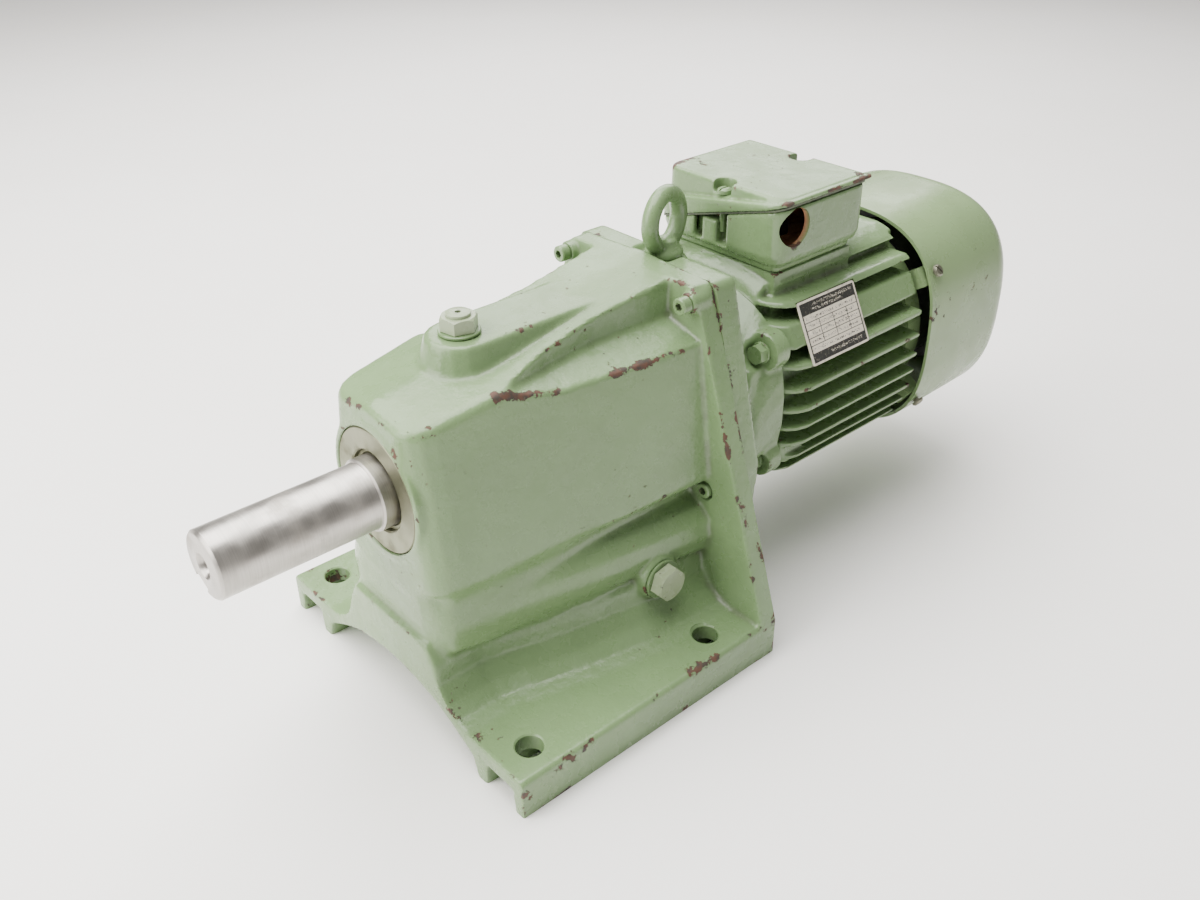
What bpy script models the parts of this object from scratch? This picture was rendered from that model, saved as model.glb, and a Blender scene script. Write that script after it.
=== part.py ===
"""Foot mounted two-stage helical gear motor with a spring-applied brake, as an assembly of its pieces.

Units are metres and +Z is up. The output shaft points along -X, the gear case stands on its
two foot rails on the plane Z = 0, and the origin is under the middle of the overall length.
"""

import math

import bmesh
import bpy
from mathutils import Matrix, Vector

# Driving dimensions, metres
CLEARANCE = 0.0003

SHAFT_LENGTH = 0.082
SHAFT_DIAMETER = 0.032
SEAL_SEAT_DIAMETER = 0.035
SEAL_SEAT_LENGTH = 0.006
OUTPUT_HEIGHT = 0.126

CASE_LENGTH = 0.1655
CASE_TOP_FRONT = 0.1665
CASE_TOP_REAR = 0.1925
CASE_CROWN = 0.004
CASE_TOP_HALF_FRONT = 0.0325
CASE_TOP_HALF_REAR = 0.0475
CASE_CREASE_HALF_FRONT = 0.0445
CASE_CREASE_HALF_REAR = 0.0615
CASE_CREASE_FRONT = 0.087
CASE_CREASE_REAR = 0.094
NOSE_HALF = 0.023
NOSE_LENGTH = 0.013
BELLY_HEIGHT = 0.064
BELLY_HALF_HEIGHT = 0.026
BELLY_HALF_REAR = 0.064
SEAL_BORE_RADIUS = 0.0313
SEAL_BOSS_WALL = 0.0035
CAVITY_LENGTH = 0.0655
CAVITY_UPPER_RADIUS = 0.0438
CAVITY_LOWER_RADIUS = 0.037
WING_THICKNESS = 0.0105

FOOT_WIDTH = 0.203
FOOT_HEIGHT = 0.0214
FOOT_SETBACK = 0.002
FOOT_RAIL_WALL = 0.0065
FOOT_CHANNEL_WIDTH = 0.021
FOOT_CHANNEL_DEPTH = 0.0125
FOOT_ARCH_HEIGHT = 0.029
BOLT_SPACING_X = 0.115
BOLT_SPACING_Y = 0.170
BOLT_HOLE_DIAMETER = 0.0135
FRONT_BOLT_SETBACK = 0.0175

VENT_STATION = 0.052
VENT_PAD_RISE = 0.0215
VENT_PAD_HALF = 0.0155
VENT_PAD_LENGTH = 0.090
PLUG_HEX = 0.0155
PLUG_HEAD = 0.0065
PLUG_SHANK_RADIUS = 0.005
WASHER_RADIUS = 0.0098
WASHER_THICKNESS = 0.0015
LEVEL_PLUG_STATION = 0.121
LEVEL_PLUG_HEIGHT = 0.049
LEVEL_PLUG_SEAT = 0.0615
LEVEL_HEX = 0.0165

FLANGE_THICKNESS = 0.0137
FLANGE_OVERHANG = 0.001
FLANGE_WAIST_HALF = 0.072
FLANGE_WAIST_HEIGHT = 0.090
FLANGE_BOTTOM = 0.026
SHIELD_LENGTH = 0.0315
SHIELD_HALF = 0.059
EAR_RADIUS = 0.0105
EAR_THICKNESS = 0.0095
TIE_HALF_Y = 0.050
TIE_HALF_Z = 0.032
TIE_RADIUS = 0.003
TIE_HEAD_RADIUS = 0.0055
TIE_HEAD = 0.0045
TIE_LENGTH = 0.022

MOTOR_DROP = 0.0125
STATOR_LENGTH = 0.1135
FIN_HALF = 0.065
FIN_SQUARENESS = 2.78
FIN_PITCH = 0.0138
FIN_THICKNESS = 0.0034
BARREL_RADIUS = 0.051
STATOR_BORE_RADIUS = 0.0463
STATOR_WALL = 0.016
AIR_GAP = 0.0006
CORE_SETBACK = 0.01375
SLOTS = 12
END_TURN_LENGTH = 0.0085

COVER_GAP = 0.0035
COVER_LENGTH = 0.090
COVER_HALF = 0.0673
COVER_WALL = 0.0018
COVER_ROUND = 0.022
COVER_SCREW_SETBACK = 0.0058
COVER_SCREW_ANGLE = math.radians(34)
GRILLE_RINGS = 3
GRILLE_PITCH = 0.011
GRILLE_INNER_RADIUS = 0.014
GRILLE_SLOT = 0.0055

BOX_LENGTH = 0.072
BOX_HALF_WIDTH = 0.043
BOX_SETBACK = 0.0045
BOX_NECK = 0.0055
BOX_NECK_INSET = 0.005
BOX_WALL = 0.0035
BOX_DEPTH = 0.0227
BOX_PARTING_SLOPE = 0.29
LID_RISE = 0.0168
BOX_CORNER = 0.006
LID_FLANGE_RISE = 0.0106
LID_FLANGE_SLOPE = 0.12
LID_STEP = 0.0125
LID_WALL = 0.003
LID_SCREW_SETBACK = 0.006
LEAD_HOLE_STATION = 0.046
LEAD_HOLE_RADIUS = 0.008
GASKET = 0.001
CABLE_HOLE_RADIUS = 0.0102
CABLE_HOLE_STATION = 0.0135
CABLE_HOLE_MARGIN = 0.0006

EYE_STATION = 0.013
EYE_RING_RADIUS = 0.014
EYE_BAR_RADIUS = 0.004
EYE_COLLAR_RADIUS = 0.010
EYE_COLLAR_HEIGHT = 0.006
EYE_SEAT_DROP = 0.003
EYE_TURN = math.radians(10)
EYE_SHANK_RADIUS = 0.004
EYE_SHANK_LENGTH = 0.010

CAP_SCREW_RADIUS = 0.0025
CAP_HEAD_RADIUS = 0.00425
CAP_HEAD = 0.005
CAP_UPPER_INSET = 0.0035
CAP_UPPER_DROP = 0.0068
CAP_LOWER_INSET = 0.0045
CAP_LOWER_DROP = 0.009

OUTPUT_BEARING_OUTER = 0.031
OUTPUT_BEARING_WIDTH = 0.014
LAY_BEARING_INNER = 0.0075
LAY_BEARING_OUTER = 0.0175
LAY_BEARING_WIDTH = 0.011
MOTOR_BEARING_INNER = 0.010
MOTOR_BEARING_OUTER = 0.0235
MOTOR_BEARING_WIDTH = 0.014
BRAKE_BEARING_INNER = 0.0085
BRAKE_BEARING_OUTER = 0.020
BRAKE_BEARING_WIDTH = 0.012
MOTOR_SEAL_OUTER = 0.0175
MOTOR_SEAL_WIDTH = 0.007

LAY_HEIGHT = 0.0715
MOTOR_TEETH = 12
LAY_WHEEL_TEETH = 44
LAY_PINION_TEETH = 14
OUTPUT_TEETH = 40
OUTPUT_FACE = 0.022
MOTOR_FACE = 0.016
HELIX = math.radians(8)
PRESSURE = math.radians(20)
ADDENDUM = 0.75
DEDENDUM = 1.15
BACKLASH = 0.00016
KEY_WIDTH = 0.010
KEY_HEIGHT = 0.008
KEYWAY_LENGTH = 0.068
KEYWAY_TURN = math.radians(27)

FRICTION_RADIUS = 0.034
FRICTION_THICKNESS = 0.007
HUB_HALF = 0.012
ARMATURE_RADIUS = 0.044
ARMATURE_THICKNESS = 0.0055
BRAKE_TRAVEL = 0.0004
MAGNET_LENGTH = 0.024
COIL_INNER_RADIUS = 0.0205
COIL_OUTER_RADIUS = 0.031
COIL_DEPTH = 0.016
BRAKE_BOLT_CIRCLE = 0.0375
SPRING_RADIUS = 0.003
SPRING_LENGTH = 0.012
BRAKE_SCREW_RADIUS = 0.0025
SHIELD_PLATE = 0.012
FAN_RADIUS = 0.052
FAN_LENGTH = 0.018
FAN_BLADES = 7

PLATE_LENGTH = 0.046
PLATE_WIDTH = 0.034
PLATE_THICKNESS = 0.0008
PLATE_STATION = 0.0145
PLATE_OUT = 0.0576
PLATE_UP = 0.0359
PLATE_TILT = math.radians(26.6)

# (inner radius, outer radius, width) of the bearings and the motor's seal
OUTPUT_BEARING = (SEAL_SEAT_DIAMETER / 2, OUTPUT_BEARING_OUTER, OUTPUT_BEARING_WIDTH)
LAY_BEARING = (LAY_BEARING_INNER, LAY_BEARING_OUTER, LAY_BEARING_WIDTH)
MOTOR_BEARING = (MOTOR_BEARING_INNER, MOTOR_BEARING_OUTER, MOTOR_BEARING_WIDTH)
BRAKE_BEARING = (BRAKE_BEARING_INNER, BRAKE_BEARING_OUTER, BRAKE_BEARING_WIDTH)
MOTOR_SEAL = (MOTOR_BEARING_INNER, MOTOR_SEAL_OUTER, MOTOR_SEAL_WIDTH)

# Stations along X and axis heights that follow from the driving dimensions
OVERALL = (SHAFT_LENGTH + CASE_LENGTH + CLEARANCE + FLANGE_THICKNESS + SHIELD_LENGTH
           + CLEARANCE + STATOR_LENGTH + COVER_GAP + COVER_LENGTH)
TIP_X = -OVERALL / 2
CASE_FRONT = TIP_X + SHAFT_LENGTH
CASE_REAR = CASE_FRONT + CASE_LENGTH
FLANGE_FRONT = CASE_REAR + CLEARANCE
FLANGE_REAR = FLANGE_FRONT + FLANGE_THICKNESS
SHIELD_REAR = FLANGE_REAR + SHIELD_LENGTH
STATOR_FRONT = SHIELD_REAR + CLEARANCE
STATOR_REAR = STATOR_FRONT + STATOR_LENGTH
COVER_FRONT = STATOR_REAR + COVER_GAP
COVER_REAR = COVER_FRONT + COVER_LENGTH
WING_FRONT = CASE_REAR - WING_THICKNESS
CAVITY_FRONT = CASE_REAR - CAVITY_LENGTH
FOOT_FRONT = CASE_FRONT - FOOT_SETBACK
FLANGE_TOP_HALF = CASE_TOP_HALF_REAR + FLANGE_OVERHANG
CAP_UPPER_Y = CASE_TOP_HALF_REAR - CAP_UPPER_INSET
CAP_UPPER_Z = CASE_TOP_REAR - CAP_UPPER_DROP
CAP_LOWER_Y = CASE_CREASE_HALF_REAR - CAP_LOWER_INSET
CAP_LOWER_Z = CASE_CREASE_REAR - CAP_LOWER_DROP
MOTOR_HEIGHT = OUTPUT_HEIGHT - MOTOR_DROP
STAGE_ONE = MOTOR_HEIGHT - LAY_HEIGHT
STAGE_TWO = OUTPUT_HEIGHT - LAY_HEIGHT
OUTPUT_WHEEL_FRONT = CAVITY_FRONT + 0.002
OUTPUT_WHEEL_REAR = OUTPUT_WHEEL_FRONT + OUTPUT_FACE
LAY_WHEEL_FRONT = OUTPUT_WHEEL_REAR + 0.008
LAY_WHEEL_REAR = LAY_WHEEL_FRONT + MOTOR_FACE
BOX_FRONT = STATOR_FRONT + BOX_SETBACK
BOX_REAR = BOX_FRONT + BOX_LENGTH
CORE_FRONT = STATOR_FRONT + CORE_SETBACK - 0.002
CORE_REAR = STATOR_REAR - CORE_SETBACK - 0.002
BOX_FLOOR = MOTOR_HEIGHT + FIN_HALF
BOX_PARTING = BOX_FLOOR + BOX_DEPTH
BOX_TOP = BOX_PARTING + LID_RISE
LID_FLANGE_HEIGHT = BOX_PARTING + LID_FLANGE_RISE
CABLE_HOLE_HEIGHT = (BOX_PARTING + BOX_PARTING_SLOPE * BOX_HALF_WIDTH
                     - CABLE_HOLE_RADIUS - CABLE_HOLE_MARGIN)
EYE_SEAT = CASE_TOP_REAR - EYE_SEAT_DROP
VENT_PAD_HEIGHT = CASE_TOP_FRONT + VENT_PAD_RISE
STATOR_INNER_RADIUS = STATOR_BORE_RADIUS - CLEARANCE - STATOR_WALL
BRAKE_SHIELD_FRONT = STATOR_REAR + CLEARANCE
BRAKE_FACE = BRAKE_SHIELD_FRONT + SHIELD_PLATE
FRICTION_FRONT = BRAKE_FACE + CLEARANCE
ARMATURE_FRONT = FRICTION_FRONT + FRICTION_THICKNESS + CLEARANCE
MAGNET_FRONT = ARMATURE_FRONT + ARMATURE_THICKNESS + BRAKE_TRAVEL + CLEARANCE
MAGNET_REAR = MAGNET_FRONT + MAGNET_LENGTH
FAN_FRONT = MAGNET_REAR + 0.011
FAN_REAR = FAN_FRONT + FAN_LENGTH

GREEN = ("reseda_green_paint", (0.30, 0.42, 0.27), 0.45, 0.1)
STEEL = ("ground_steel", (0.52, 0.50, 0.48), 0.35, 1.0)
DARK_STEEL = ("dark_steel", (0.16, 0.16, 0.16), 0.5, 0.9)
RUBBER = ("seal_rubber", (0.03, 0.03, 0.03), 0.8, 0.0)
COPPER = ("copper_winding", (0.60, 0.26, 0.12), 0.45, 0.9)
LAMINATE = ("core_laminations", (0.25, 0.25, 0.27), 0.55, 0.8)
PLASTIC = ("black_plastic", (0.04, 0.04, 0.04), 0.5, 0.0)
FRICTION = ("friction_lining", (0.14, 0.11, 0.09), 0.9, 0.0)
ZINC = ("zinc_plated", (0.60, 0.58, 0.52), 0.4, 1.0)
PLATE = ("printed_plate", (0.78, 0.74, 0.66), 0.4, 0.4)
SEAL_METAL = ("seal_case", (0.42, 0.42, 0.36), 0.45, 0.8)


def new_collection(name):
    """A collection linked to the scene."""
    collection = bpy.data.collections.new(name)
    bpy.context.scene.collection.children.link(collection)
    return collection


def clear_scene():
    """Removes every object that the scene holds."""
    for obj in list(bpy.data.objects):
        bpy.data.objects.remove(obj, do_unlink=True)


clear_scene()
PARTS = new_collection("brake_gear_motor")
CUTTERS = new_collection("cutters")


def material(finish):
    """The Principled material of a finish, made once."""
    name, colour, roughness, metallic = finish
    found = bpy.data.materials.get(name)
    if found:
        return found
    made = bpy.data.materials.new(name)
    made.use_nodes = True
    shader = made.node_tree.nodes["Principled BSDF"]
    shader.inputs["Base Color"].default_value = (*colour, 1)
    shader.inputs["Roughness"].default_value = roughness
    shader.inputs["Metallic"].default_value = metallic
    return made


def object_of(name, bm):
    """A mesh object of a bmesh, which is freed. It stays a helper until finish() makes it a part."""
    mesh = bpy.data.meshes.new(name)
    bm.to_mesh(mesh)
    bm.free()
    obj = bpy.data.objects.new(name, mesh)
    CUTTERS.objects.link(obj)
    obj.hide_render = True
    obj.display_type = "WIRE"
    return obj


def finish(obj, name, look):
    """Makes a helper object one of the parts, with its name and material."""
    CUTTERS.objects.unlink(obj)
    PARTS.objects.link(obj)
    obj.hide_render = False
    obj.display_type = "TEXTURED"
    obj.name = name
    obj.data.materials.clear()
    obj.data.materials.append(material(look))
    obj.data.shade_smooth()
    obj.data.set_sharp_from_angle(angle=math.radians(35))
    return obj


def boolean(obj, other, operation):
    """Adds an exact Boolean of the other object, which stays a helper."""
    modifier = obj.modifiers.new(other.name, "BOOLEAN")
    modifier.operation = operation
    modifier.solver = "EXACT"
    modifier.object = other
    return obj


def cut(obj, *others):
    """Cuts the others out of the object."""
    for other in others:
        boolean(obj, other, "DIFFERENCE")
    return obj


def join(obj, *others):
    """Joins the others to the object."""
    for other in others:
        boolean(obj, other, "UNION")
    return obj


def block(name, low, high):
    """A box from its low corner to its high corner."""
    bm = bmesh.new()
    bmesh.ops.create_cube(bm, size=1)
    low, high = Vector(low), Vector(high)
    size = high - low
    bmesh.ops.scale(bm, vec=size, verts=bm.verts)
    bmesh.ops.translate(bm, vec=(low + high) / 2, verts=bm.verts)
    return object_of(name, bm)


def blocks(name, boxes):
    """Separate boxes in one helper mesh."""
    bm = bmesh.new()
    for low, high in boxes:
        made = bmesh.ops.create_cube(bm, size=1)["verts"]
        low, high = Vector(low), Vector(high)
        bmesh.ops.scale(bm, vec=high - low, verts=made)
        bmesh.ops.translate(bm, vec=(low + high) / 2, verts=made)
    return object_of(name, bm)


def rod(name, start, end, radius, radius_end=None, sides=24, phase=0.0):
    """A cylinder, cone or prism between two points."""
    start, end = Vector(start), Vector(end)
    along = end - start
    bm = bmesh.new()
    bmesh.ops.create_cone(bm, cap_ends=True, segments=sides, radius1=radius,
                          radius2=radius if radius_end is None else radius_end,
                          depth=along.length,
                          matrix=Matrix.Rotation(phase, 4, "Z"))
    turn = along.to_track_quat("Z", "Y").to_matrix().to_4x4()
    bmesh.ops.transform(bm, matrix=Matrix.Translation((start + end) / 2) @ turn, verts=bm.verts)
    return object_of(name, bm)


def rod_x(name, x_low, x_high, y, z, radius, sides=24):
    """A cylinder along X."""
    return rod(name, (x_low, y, z), (x_high, y, z), radius, sides=sides)


def turned(name, profile, height, steps=32, y=0.0):
    """A turned piece on an axis along X at a height.

    The profile holds (station, radius) pairs: its outer side from the high station to the low
    one, then the inner side back, if it has a bore.
    """
    bm = bmesh.new()
    rim = [bm.verts.new((radius, 0, station)) for station, radius in profile]
    bored = min(radius for _, radius in profile) > 0
    for a, b in zip(rim, rim[1:]):
        bm.edges.new((a, b))
    if bored:
        bm.edges.new((rim[-1], rim[0]))
    obj = object_of(name, bm)
    screw = obj.modifiers.new("turn", "SCREW")
    screw.steps = steps
    screw.render_steps = steps
    screw.use_merge_vertices = True
    screw.merge_threshold = 0.00001
    obj.rotation_euler = (0, math.radians(90), 0)
    obj.location = (0, y, height)
    return obj


def tube(name, x_low, x_high, height, outer, inner, steps=32):
    """A plain ring along X."""
    profile = [(x_high, outer), (x_low, outer), (x_low, inner), (x_high, inner)]
    return turned(name, profile, height, steps)


def stepped(name, steps_of, height, steps=32):
    """A solid shaft along X from (low station, high station, radius) steps, low station first."""
    profile = [(steps_of[-1][1], 0.0)]
    for low, high, radius in reversed(steps_of):
        profile += [(high, radius), (low, radius)]
    profile.append((steps_of[0][0], 0.0))
    return turned(name, profile, height, steps)


def prism(name, outline, x_low, x_high):
    """A (y, z) outline extruded along X."""
    bm = bmesh.new()
    face = bm.faces.new([bm.verts.new((x_low, y, z)) for y, z in outline])
    grown = bmesh.ops.extrude_face_region(bm, geom=[face])["geom"]
    moved = [item for item in grown if isinstance(item, bmesh.types.BMVert)]
    bmesh.ops.translate(bm, vec=(x_high - x_low, 0, 0), verts=moved)
    bmesh.ops.recalc_face_normals(bm, faces=bm.faces)
    return object_of(name, bm)


def loft(name, sections):
    """A closed skin through sections, each a list of as many points."""
    bm = bmesh.new()
    rings = [[bm.verts.new(point) for point in section] for section in sections]
    for ring, following in zip(rings, rings[1:]):
        for i, vert in enumerate(ring):
            j = (i + 1) % len(ring)
            bm.faces.new((vert, ring[j], following[j]))
            bm.faces.new((vert, following[j], following[i]))
    bm.faces.new(rings[0])
    bm.faces.new(rings[-1])
    bmesh.ops.recalc_face_normals(bm, faces=bm.faces)
    return object_of(name, bm)


def rounded(corners, segments=3):
    """A (u, v) outline whose corners (u, v, radius) are arcs."""
    outline = []
    count = len(corners)
    for i, (u, v, radius) in enumerate(corners):
        here = Vector((u, v))
        before = (Vector(corners[i - 1][:2]) - here).normalized()
        after = (Vector(corners[(i + 1) % count][:2]) - here).normalized()
        half = before.angle(after) / 2
        reach = radius / math.tan(half)
        centre = here + (before + after).normalized() * (radius / math.sin(half))
        first = here + before * reach - centre
        last = here + after * reach - centre
        sweep = first.angle_signed(last)
        for k in range(segments + 1):
            turned_by = Matrix.Rotation(-sweep * k / segments, 2)
            outline.append(tuple(centre + turned_by @ first))
    return outline


def mirrored(half):
    """The closed outline of a right half, given from top to bottom, with its mirror image."""
    return half + [(-y, z) for y, z in reversed(half)]


def squircle(half, height, squareness=FIN_SQUARENESS, count=40):
    """A rounded square outline about the motor axis."""
    outline = []
    for i in range(count):
        angle = 2 * math.pi * (i + 0.5) / count
        c, s = math.cos(angle), math.sin(angle)
        y = half * math.copysign(abs(c) ** (2 / squareness), c)
        z = half * math.copysign(abs(s) ** (2 / squareness), s)
        outline.append((y, height + z))
    return outline


def at_station(x, outline):
    """The outline's points at a station along X."""
    return [(x, y, z) for y, z in outline]


def blend(low, high, part):
    """The value a part of the way from low to high."""
    return low + (high - low) * part


def involute(angle):
    """The involute function of a pressure angle."""
    return math.tan(angle) - angle


def gear_outline(teeth, module, first_tooth, turn):
    """The (y, z) outline of an involute gear about the origin, with a tooth centred on an angle."""
    pitch_radius = module * teeth / 2
    base = pitch_radius * math.cos(PRESSURE)
    radii = [pitch_radius - DEDENDUM * module, pitch_radius, pitch_radius + ADDENDUM * module]
    half_pitch = math.pi / (2 * teeth) - BACKLASH / pitch_radius
    flank = []
    for radius in radii:
        pressure = math.acos(min(1, base / radius))
        flank.append((radius, half_pitch + involute(PRESSURE) - involute(pressure)))
    outline = []
    for k in range(teeth):
        middle = first_tooth + turn + 2 * math.pi * k / teeth
        for radius, half in flank:
            outline.append((radius * math.cos(middle - half), radius * math.sin(middle - half)))
        for radius, half in reversed(flank):
            outline.append((radius * math.cos(middle + half), radius * math.sin(middle + half)))
    return outline


def gear(name, teeth, module, height, x_low, x_high, first_tooth, hand, layers=1):
    """A helical gear along X. Hand +1 or -1 is the helix direction."""
    pitch_radius = module * teeth / 2
    sections = []
    for k in range(layers + 1):
        x = blend(x_low, x_high, k / layers)
        turn = hand * (x - x_low) * math.tan(HELIX) / pitch_radius
        outline = gear_outline(teeth, module, first_tooth, turn)
        sections.append([(x, y, height + z) for y, z in outline])
    return loft(name, sections)


def bearing(name, size, x_low, height, finish_name=STEEL):
    """A ball bearing drawn as one ring, its front face relieved between the rings."""
    inner, outer, width = size
    inner += CLEARANCE
    ring = (outer - inner) * 0.27
    relief = width * 0.12
    x_high = x_low + width
    profile = [(x_high, outer), (x_low, outer), (x_low, outer - ring), (x_low + relief, outer - ring),
               (x_low + relief, inner + ring), (x_low, inner + ring), (x_low, inner), (x_high, inner)]
    return finish(turned(name, profile, height, steps=20), name, finish_name)


def case_section(part, inset=0.0, top_drop=0.0):
    """The upper gear case outline, a part of the way from its front to its rear."""
    top = blend(CASE_TOP_FRONT, CASE_TOP_REAR, part) - top_drop
    crease = blend(CASE_CREASE_FRONT, CASE_CREASE_REAR, part)
    top_half = blend(CASE_TOP_HALF_FRONT, CASE_TOP_HALF_REAR, part) - inset
    crease_half = blend(CASE_CREASE_HALF_FRONT, CASE_CREASE_HALF_REAR, part) - inset
    corners = [(0, top + CASE_CROWN, 0.030), (top_half, top, 0.004),
               (crease_half, crease, 0.004), (crease_half - 0.016, crease - 0.010, 0.003),
               (-crease_half + 0.016, crease - 0.010, 0.003), (-crease_half, crease, 0.004),
               (-top_half, top, 0.004)]
    return rounded(corners, segments=2)


def case_upper():
    """The tapering upper body with its rounded nose."""
    nose = NOSE_LENGTH / CASE_LENGTH
    full_inset = CASE_TOP_HALF_FRONT - NOSE_HALF
    sections = []
    for share, inset in ((0, 1.0), (0.18, 0.52), (0.5, 0.16), (1, 0.0)):
        x = CASE_FRONT + 0.0006 + NOSE_LENGTH * share
        sections.append(at_station(x, case_section(nose * share, full_inset * inset, 0.002 * inset)))
    sections.append(at_station(CASE_REAR - 0.0010, case_section(1)))
    return loft("case_upper", sections)


def belly_section(half, part):
    """The bulge round the intermediate shaft."""
    centre = blend(BELLY_HEIGHT + 0.002, BELLY_HEIGHT - 0.004, part)
    outline = []
    count = 24
    for i in range(count):
        angle = 2 * math.pi * i / count
        c, s = math.cos(angle), math.sin(angle)
        outline.append((half * math.copysign(abs(c) ** 0.85, c),
                        centre + BELLY_HALF_HEIGHT * math.copysign(abs(s) ** 0.85, s)))
    return outline


def case_belly():
    """The belly, rounded at the nose and widest at the rear."""
    front_half = CASE_CREASE_HALF_FRONT
    sections = []
    for share, part in ((0, 0.62), (0.18, 0.82), (0.5, 0.95), (1, 1.0)):
        x = CASE_FRONT + 0.001 + NOSE_LENGTH * share
        sections.append(at_station(x, belly_section(front_half * part, 0)))
    sections.append(at_station(blend(CASE_FRONT, CASE_REAR, 0.55), belly_section(0.0565, 0.5)))
    sections.append(at_station(CASE_REAR - 0.0018, belly_section(BELLY_HALF_REAR, 1)))
    return loft("case_belly", sections)


def case_core():
    """The wall between the upper body and the belly, the floor of the side pockets."""
    def section(half):
        return [(half, 0.098), (half, 0.050), (-half, 0.050), (-half, 0.098)]
    return loft("case_core", [at_station(CASE_FRONT + NOSE_LENGTH * 0.6, section(0.037)),
                              at_station(CASE_FRONT + NOSE_LENGTH * 2, section(0.0435)),
                              at_station(CASE_REAR - 0.0026, section(0.0475))])


def arch_points(grow=0.0):
    """The arch between the foot rails, from low on its side to near its middle."""
    side = FOOT_WIDTH / 2 - 2 * FOOT_RAIL_WALL - FOOT_CHANNEL_WIDTH
    shares = ((0.9407, 0.3448), (0.7111, 0.6379), (0.5037, 0.8448), (0.2519, 0.9655))
    return [(side * y + grow, FOOT_ARCH_HEIGHT * z + grow) for y, z in shares]


def skirt_section(waist):
    """The foot plate and the flare that carries the belly on it."""
    edge = FOOT_WIDTH / 2
    flare = min(0.024, edge - waist - 0.012)
    rim = FOOT_RAIL_WALL
    channel_inner = edge - rim - FOOT_CHANNEL_WIDTH
    half = [(waist - 0.006, 0.056), (waist, 0.046)]
    for k in range(1, 5):
        angle = math.radians(90 * k / 4)
        half.append((waist + flare * (1 - math.cos(angle)),
                     blend(0.046, FOOT_HEIGHT, math.sin(angle))))
    half += [(edge - 0.0015, FOOT_HEIGHT), (edge, FOOT_HEIGHT - 0.0015), (edge, 0),
             (edge - rim, 0), (edge - rim - 0.001, FOOT_CHANNEL_DEPTH),
             (channel_inner + 0.001, FOOT_CHANNEL_DEPTH), (channel_inner, 0), (channel_inner - rim, 0)]
    return mirrored(half + arch_points() + [(0.004, FOOT_ARCH_HEIGHT)])


def case_skirt():
    """The foot with its two rails, narrow waisted at the front."""
    stations = ((FOOT_FRONT, 0.0375), (FOOT_FRONT + 0.026, 0.0375), (FOOT_FRONT + 0.070, 0.049),
                (FOOT_FRONT + 0.110, 0.0565), (WING_FRONT + 0.004, 0.0575))
    return loft("case_skirt", [at_station(x, skirt_section(waist)) for x, waist in stations])


def case_wing():
    """The rear flange of the case, from its top corners down to the foot."""
    edge = FOOT_WIDTH / 2 + 0.0002
    inner = edge - 2 * FOOT_RAIL_WALL - FOOT_CHANNEL_WIDTH
    bottom = 0.0004
    half = [(0.0, CASE_TOP_REAR + 0.0014), (CASE_TOP_HALF_REAR - 0.004, CASE_TOP_REAR + 0.0004),
            (CASE_TOP_HALF_REAR, CASE_TOP_REAR - 0.004), (edge, FOOT_HEIGHT), (edge, bottom),
            (inner, bottom)] + arch_points(0.0004)
    outline = half + [(-y, z) for y, z in reversed(half[1:])]
    return prism("case_wing", outline, WING_FRONT, CASE_REAR)


def vent_pad():
    """The level pad of the vent plug, rounded at its front, running back into the sloping top."""
    def section(grow, shorten):
        half = VENT_PAD_HALF + grow
        front = CASE_FRONT + VENT_STATION - half
        rear = front + VENT_PAD_LENGTH - shorten
        outline = [(rear, half)]
        for k in range(9):
            angle = math.radians(90 + 180 * k / 8)
            outline.append((front + half + half * math.cos(angle), half * math.sin(angle)))
        return outline + [(rear, -half)]
    low, high = CASE_TOP_FRONT - 0.006, VENT_PAD_HEIGHT
    wide = [(x, y, low) for x, y in section(0.0085, 0)]
    narrow = [(x, y, high - 0.001) for x, y in section(0.001, 0)]
    top = [(x, y, high) for x, y in section(0, 0)]
    return loft("vent_pad", [wide, narrow, top])


def top_pocket(side):
    """The scallop along one top edge that gives the upper cap screw its room."""
    def section(x, inner, floor, outer_floor):
        above, beyond = CASE_TOP_REAR + 0.0125, CASE_TOP_HALF_REAR + 0.0275
        corners = [(side * inner, above, 0.001), (side * (inner + 0.001), floor + 0.003, 0.0028),
                   (side * beyond, outer_floor, 0.001), (side * beyond, above, 0.001)]
        return at_station(x, rounded(corners, segments=2))
    span = CASE_LENGTH - WING_THICKNESS
    start = CASE_FRONT + 0.26 * span
    half, top = CASE_TOP_HALF_REAR, CASE_TOP_REAR
    return loft("top_pocket", [section(start, half - 0.0090, top - 0.0175, top - 0.0225),
                               section(CASE_FRONT + 0.36 * span, half - 0.0155, top - 0.0235, top - 0.0375),
                               section(CASE_FRONT + 0.50 * span, half - 0.0210, top - 0.0250, top - 0.0395),
                               section(CASE_FRONT + 0.70 * span, half - 0.0235, top - 0.0235, top - 0.0370),
                               section(WING_FRONT, half - 0.0200, top - 0.0215, top - 0.0345)])


def cap_boss(side, y, z, x_front):
    """A round boss in front of the rear flange that a cap screw seats on."""
    return rod_x("cap_boss", x_front, CASE_REAR - 0.002, side * y, z, CAP_HEAD_RADIUS + 0.0012, 16)


def case_cavity():
    """The gear space, open at the rear, round both gear stages."""
    outline = []
    reach = math.acos((CAVITY_UPPER_RADIUS - CAVITY_LOWER_RADIUS) / STAGE_TWO)
    for radius, height, start, end in ((CAVITY_UPPER_RADIUS, OUTPUT_HEIGHT, -math.pi / 2 + reach,
                                        3 * math.pi / 2 - reach),
                                       (CAVITY_LOWER_RADIUS, LAY_HEIGHT, 3 * math.pi / 2 - reach,
                                        3 * math.pi / 2 + reach)):
        for k in range(17):
            angle = blend(start, end, k / 16)
            outline.append((radius * math.cos(angle), height + radius * math.sin(angle)))
    return prism("case_cavity", outline, CAVITY_FRONT, CASE_REAR + 0.01)


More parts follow.
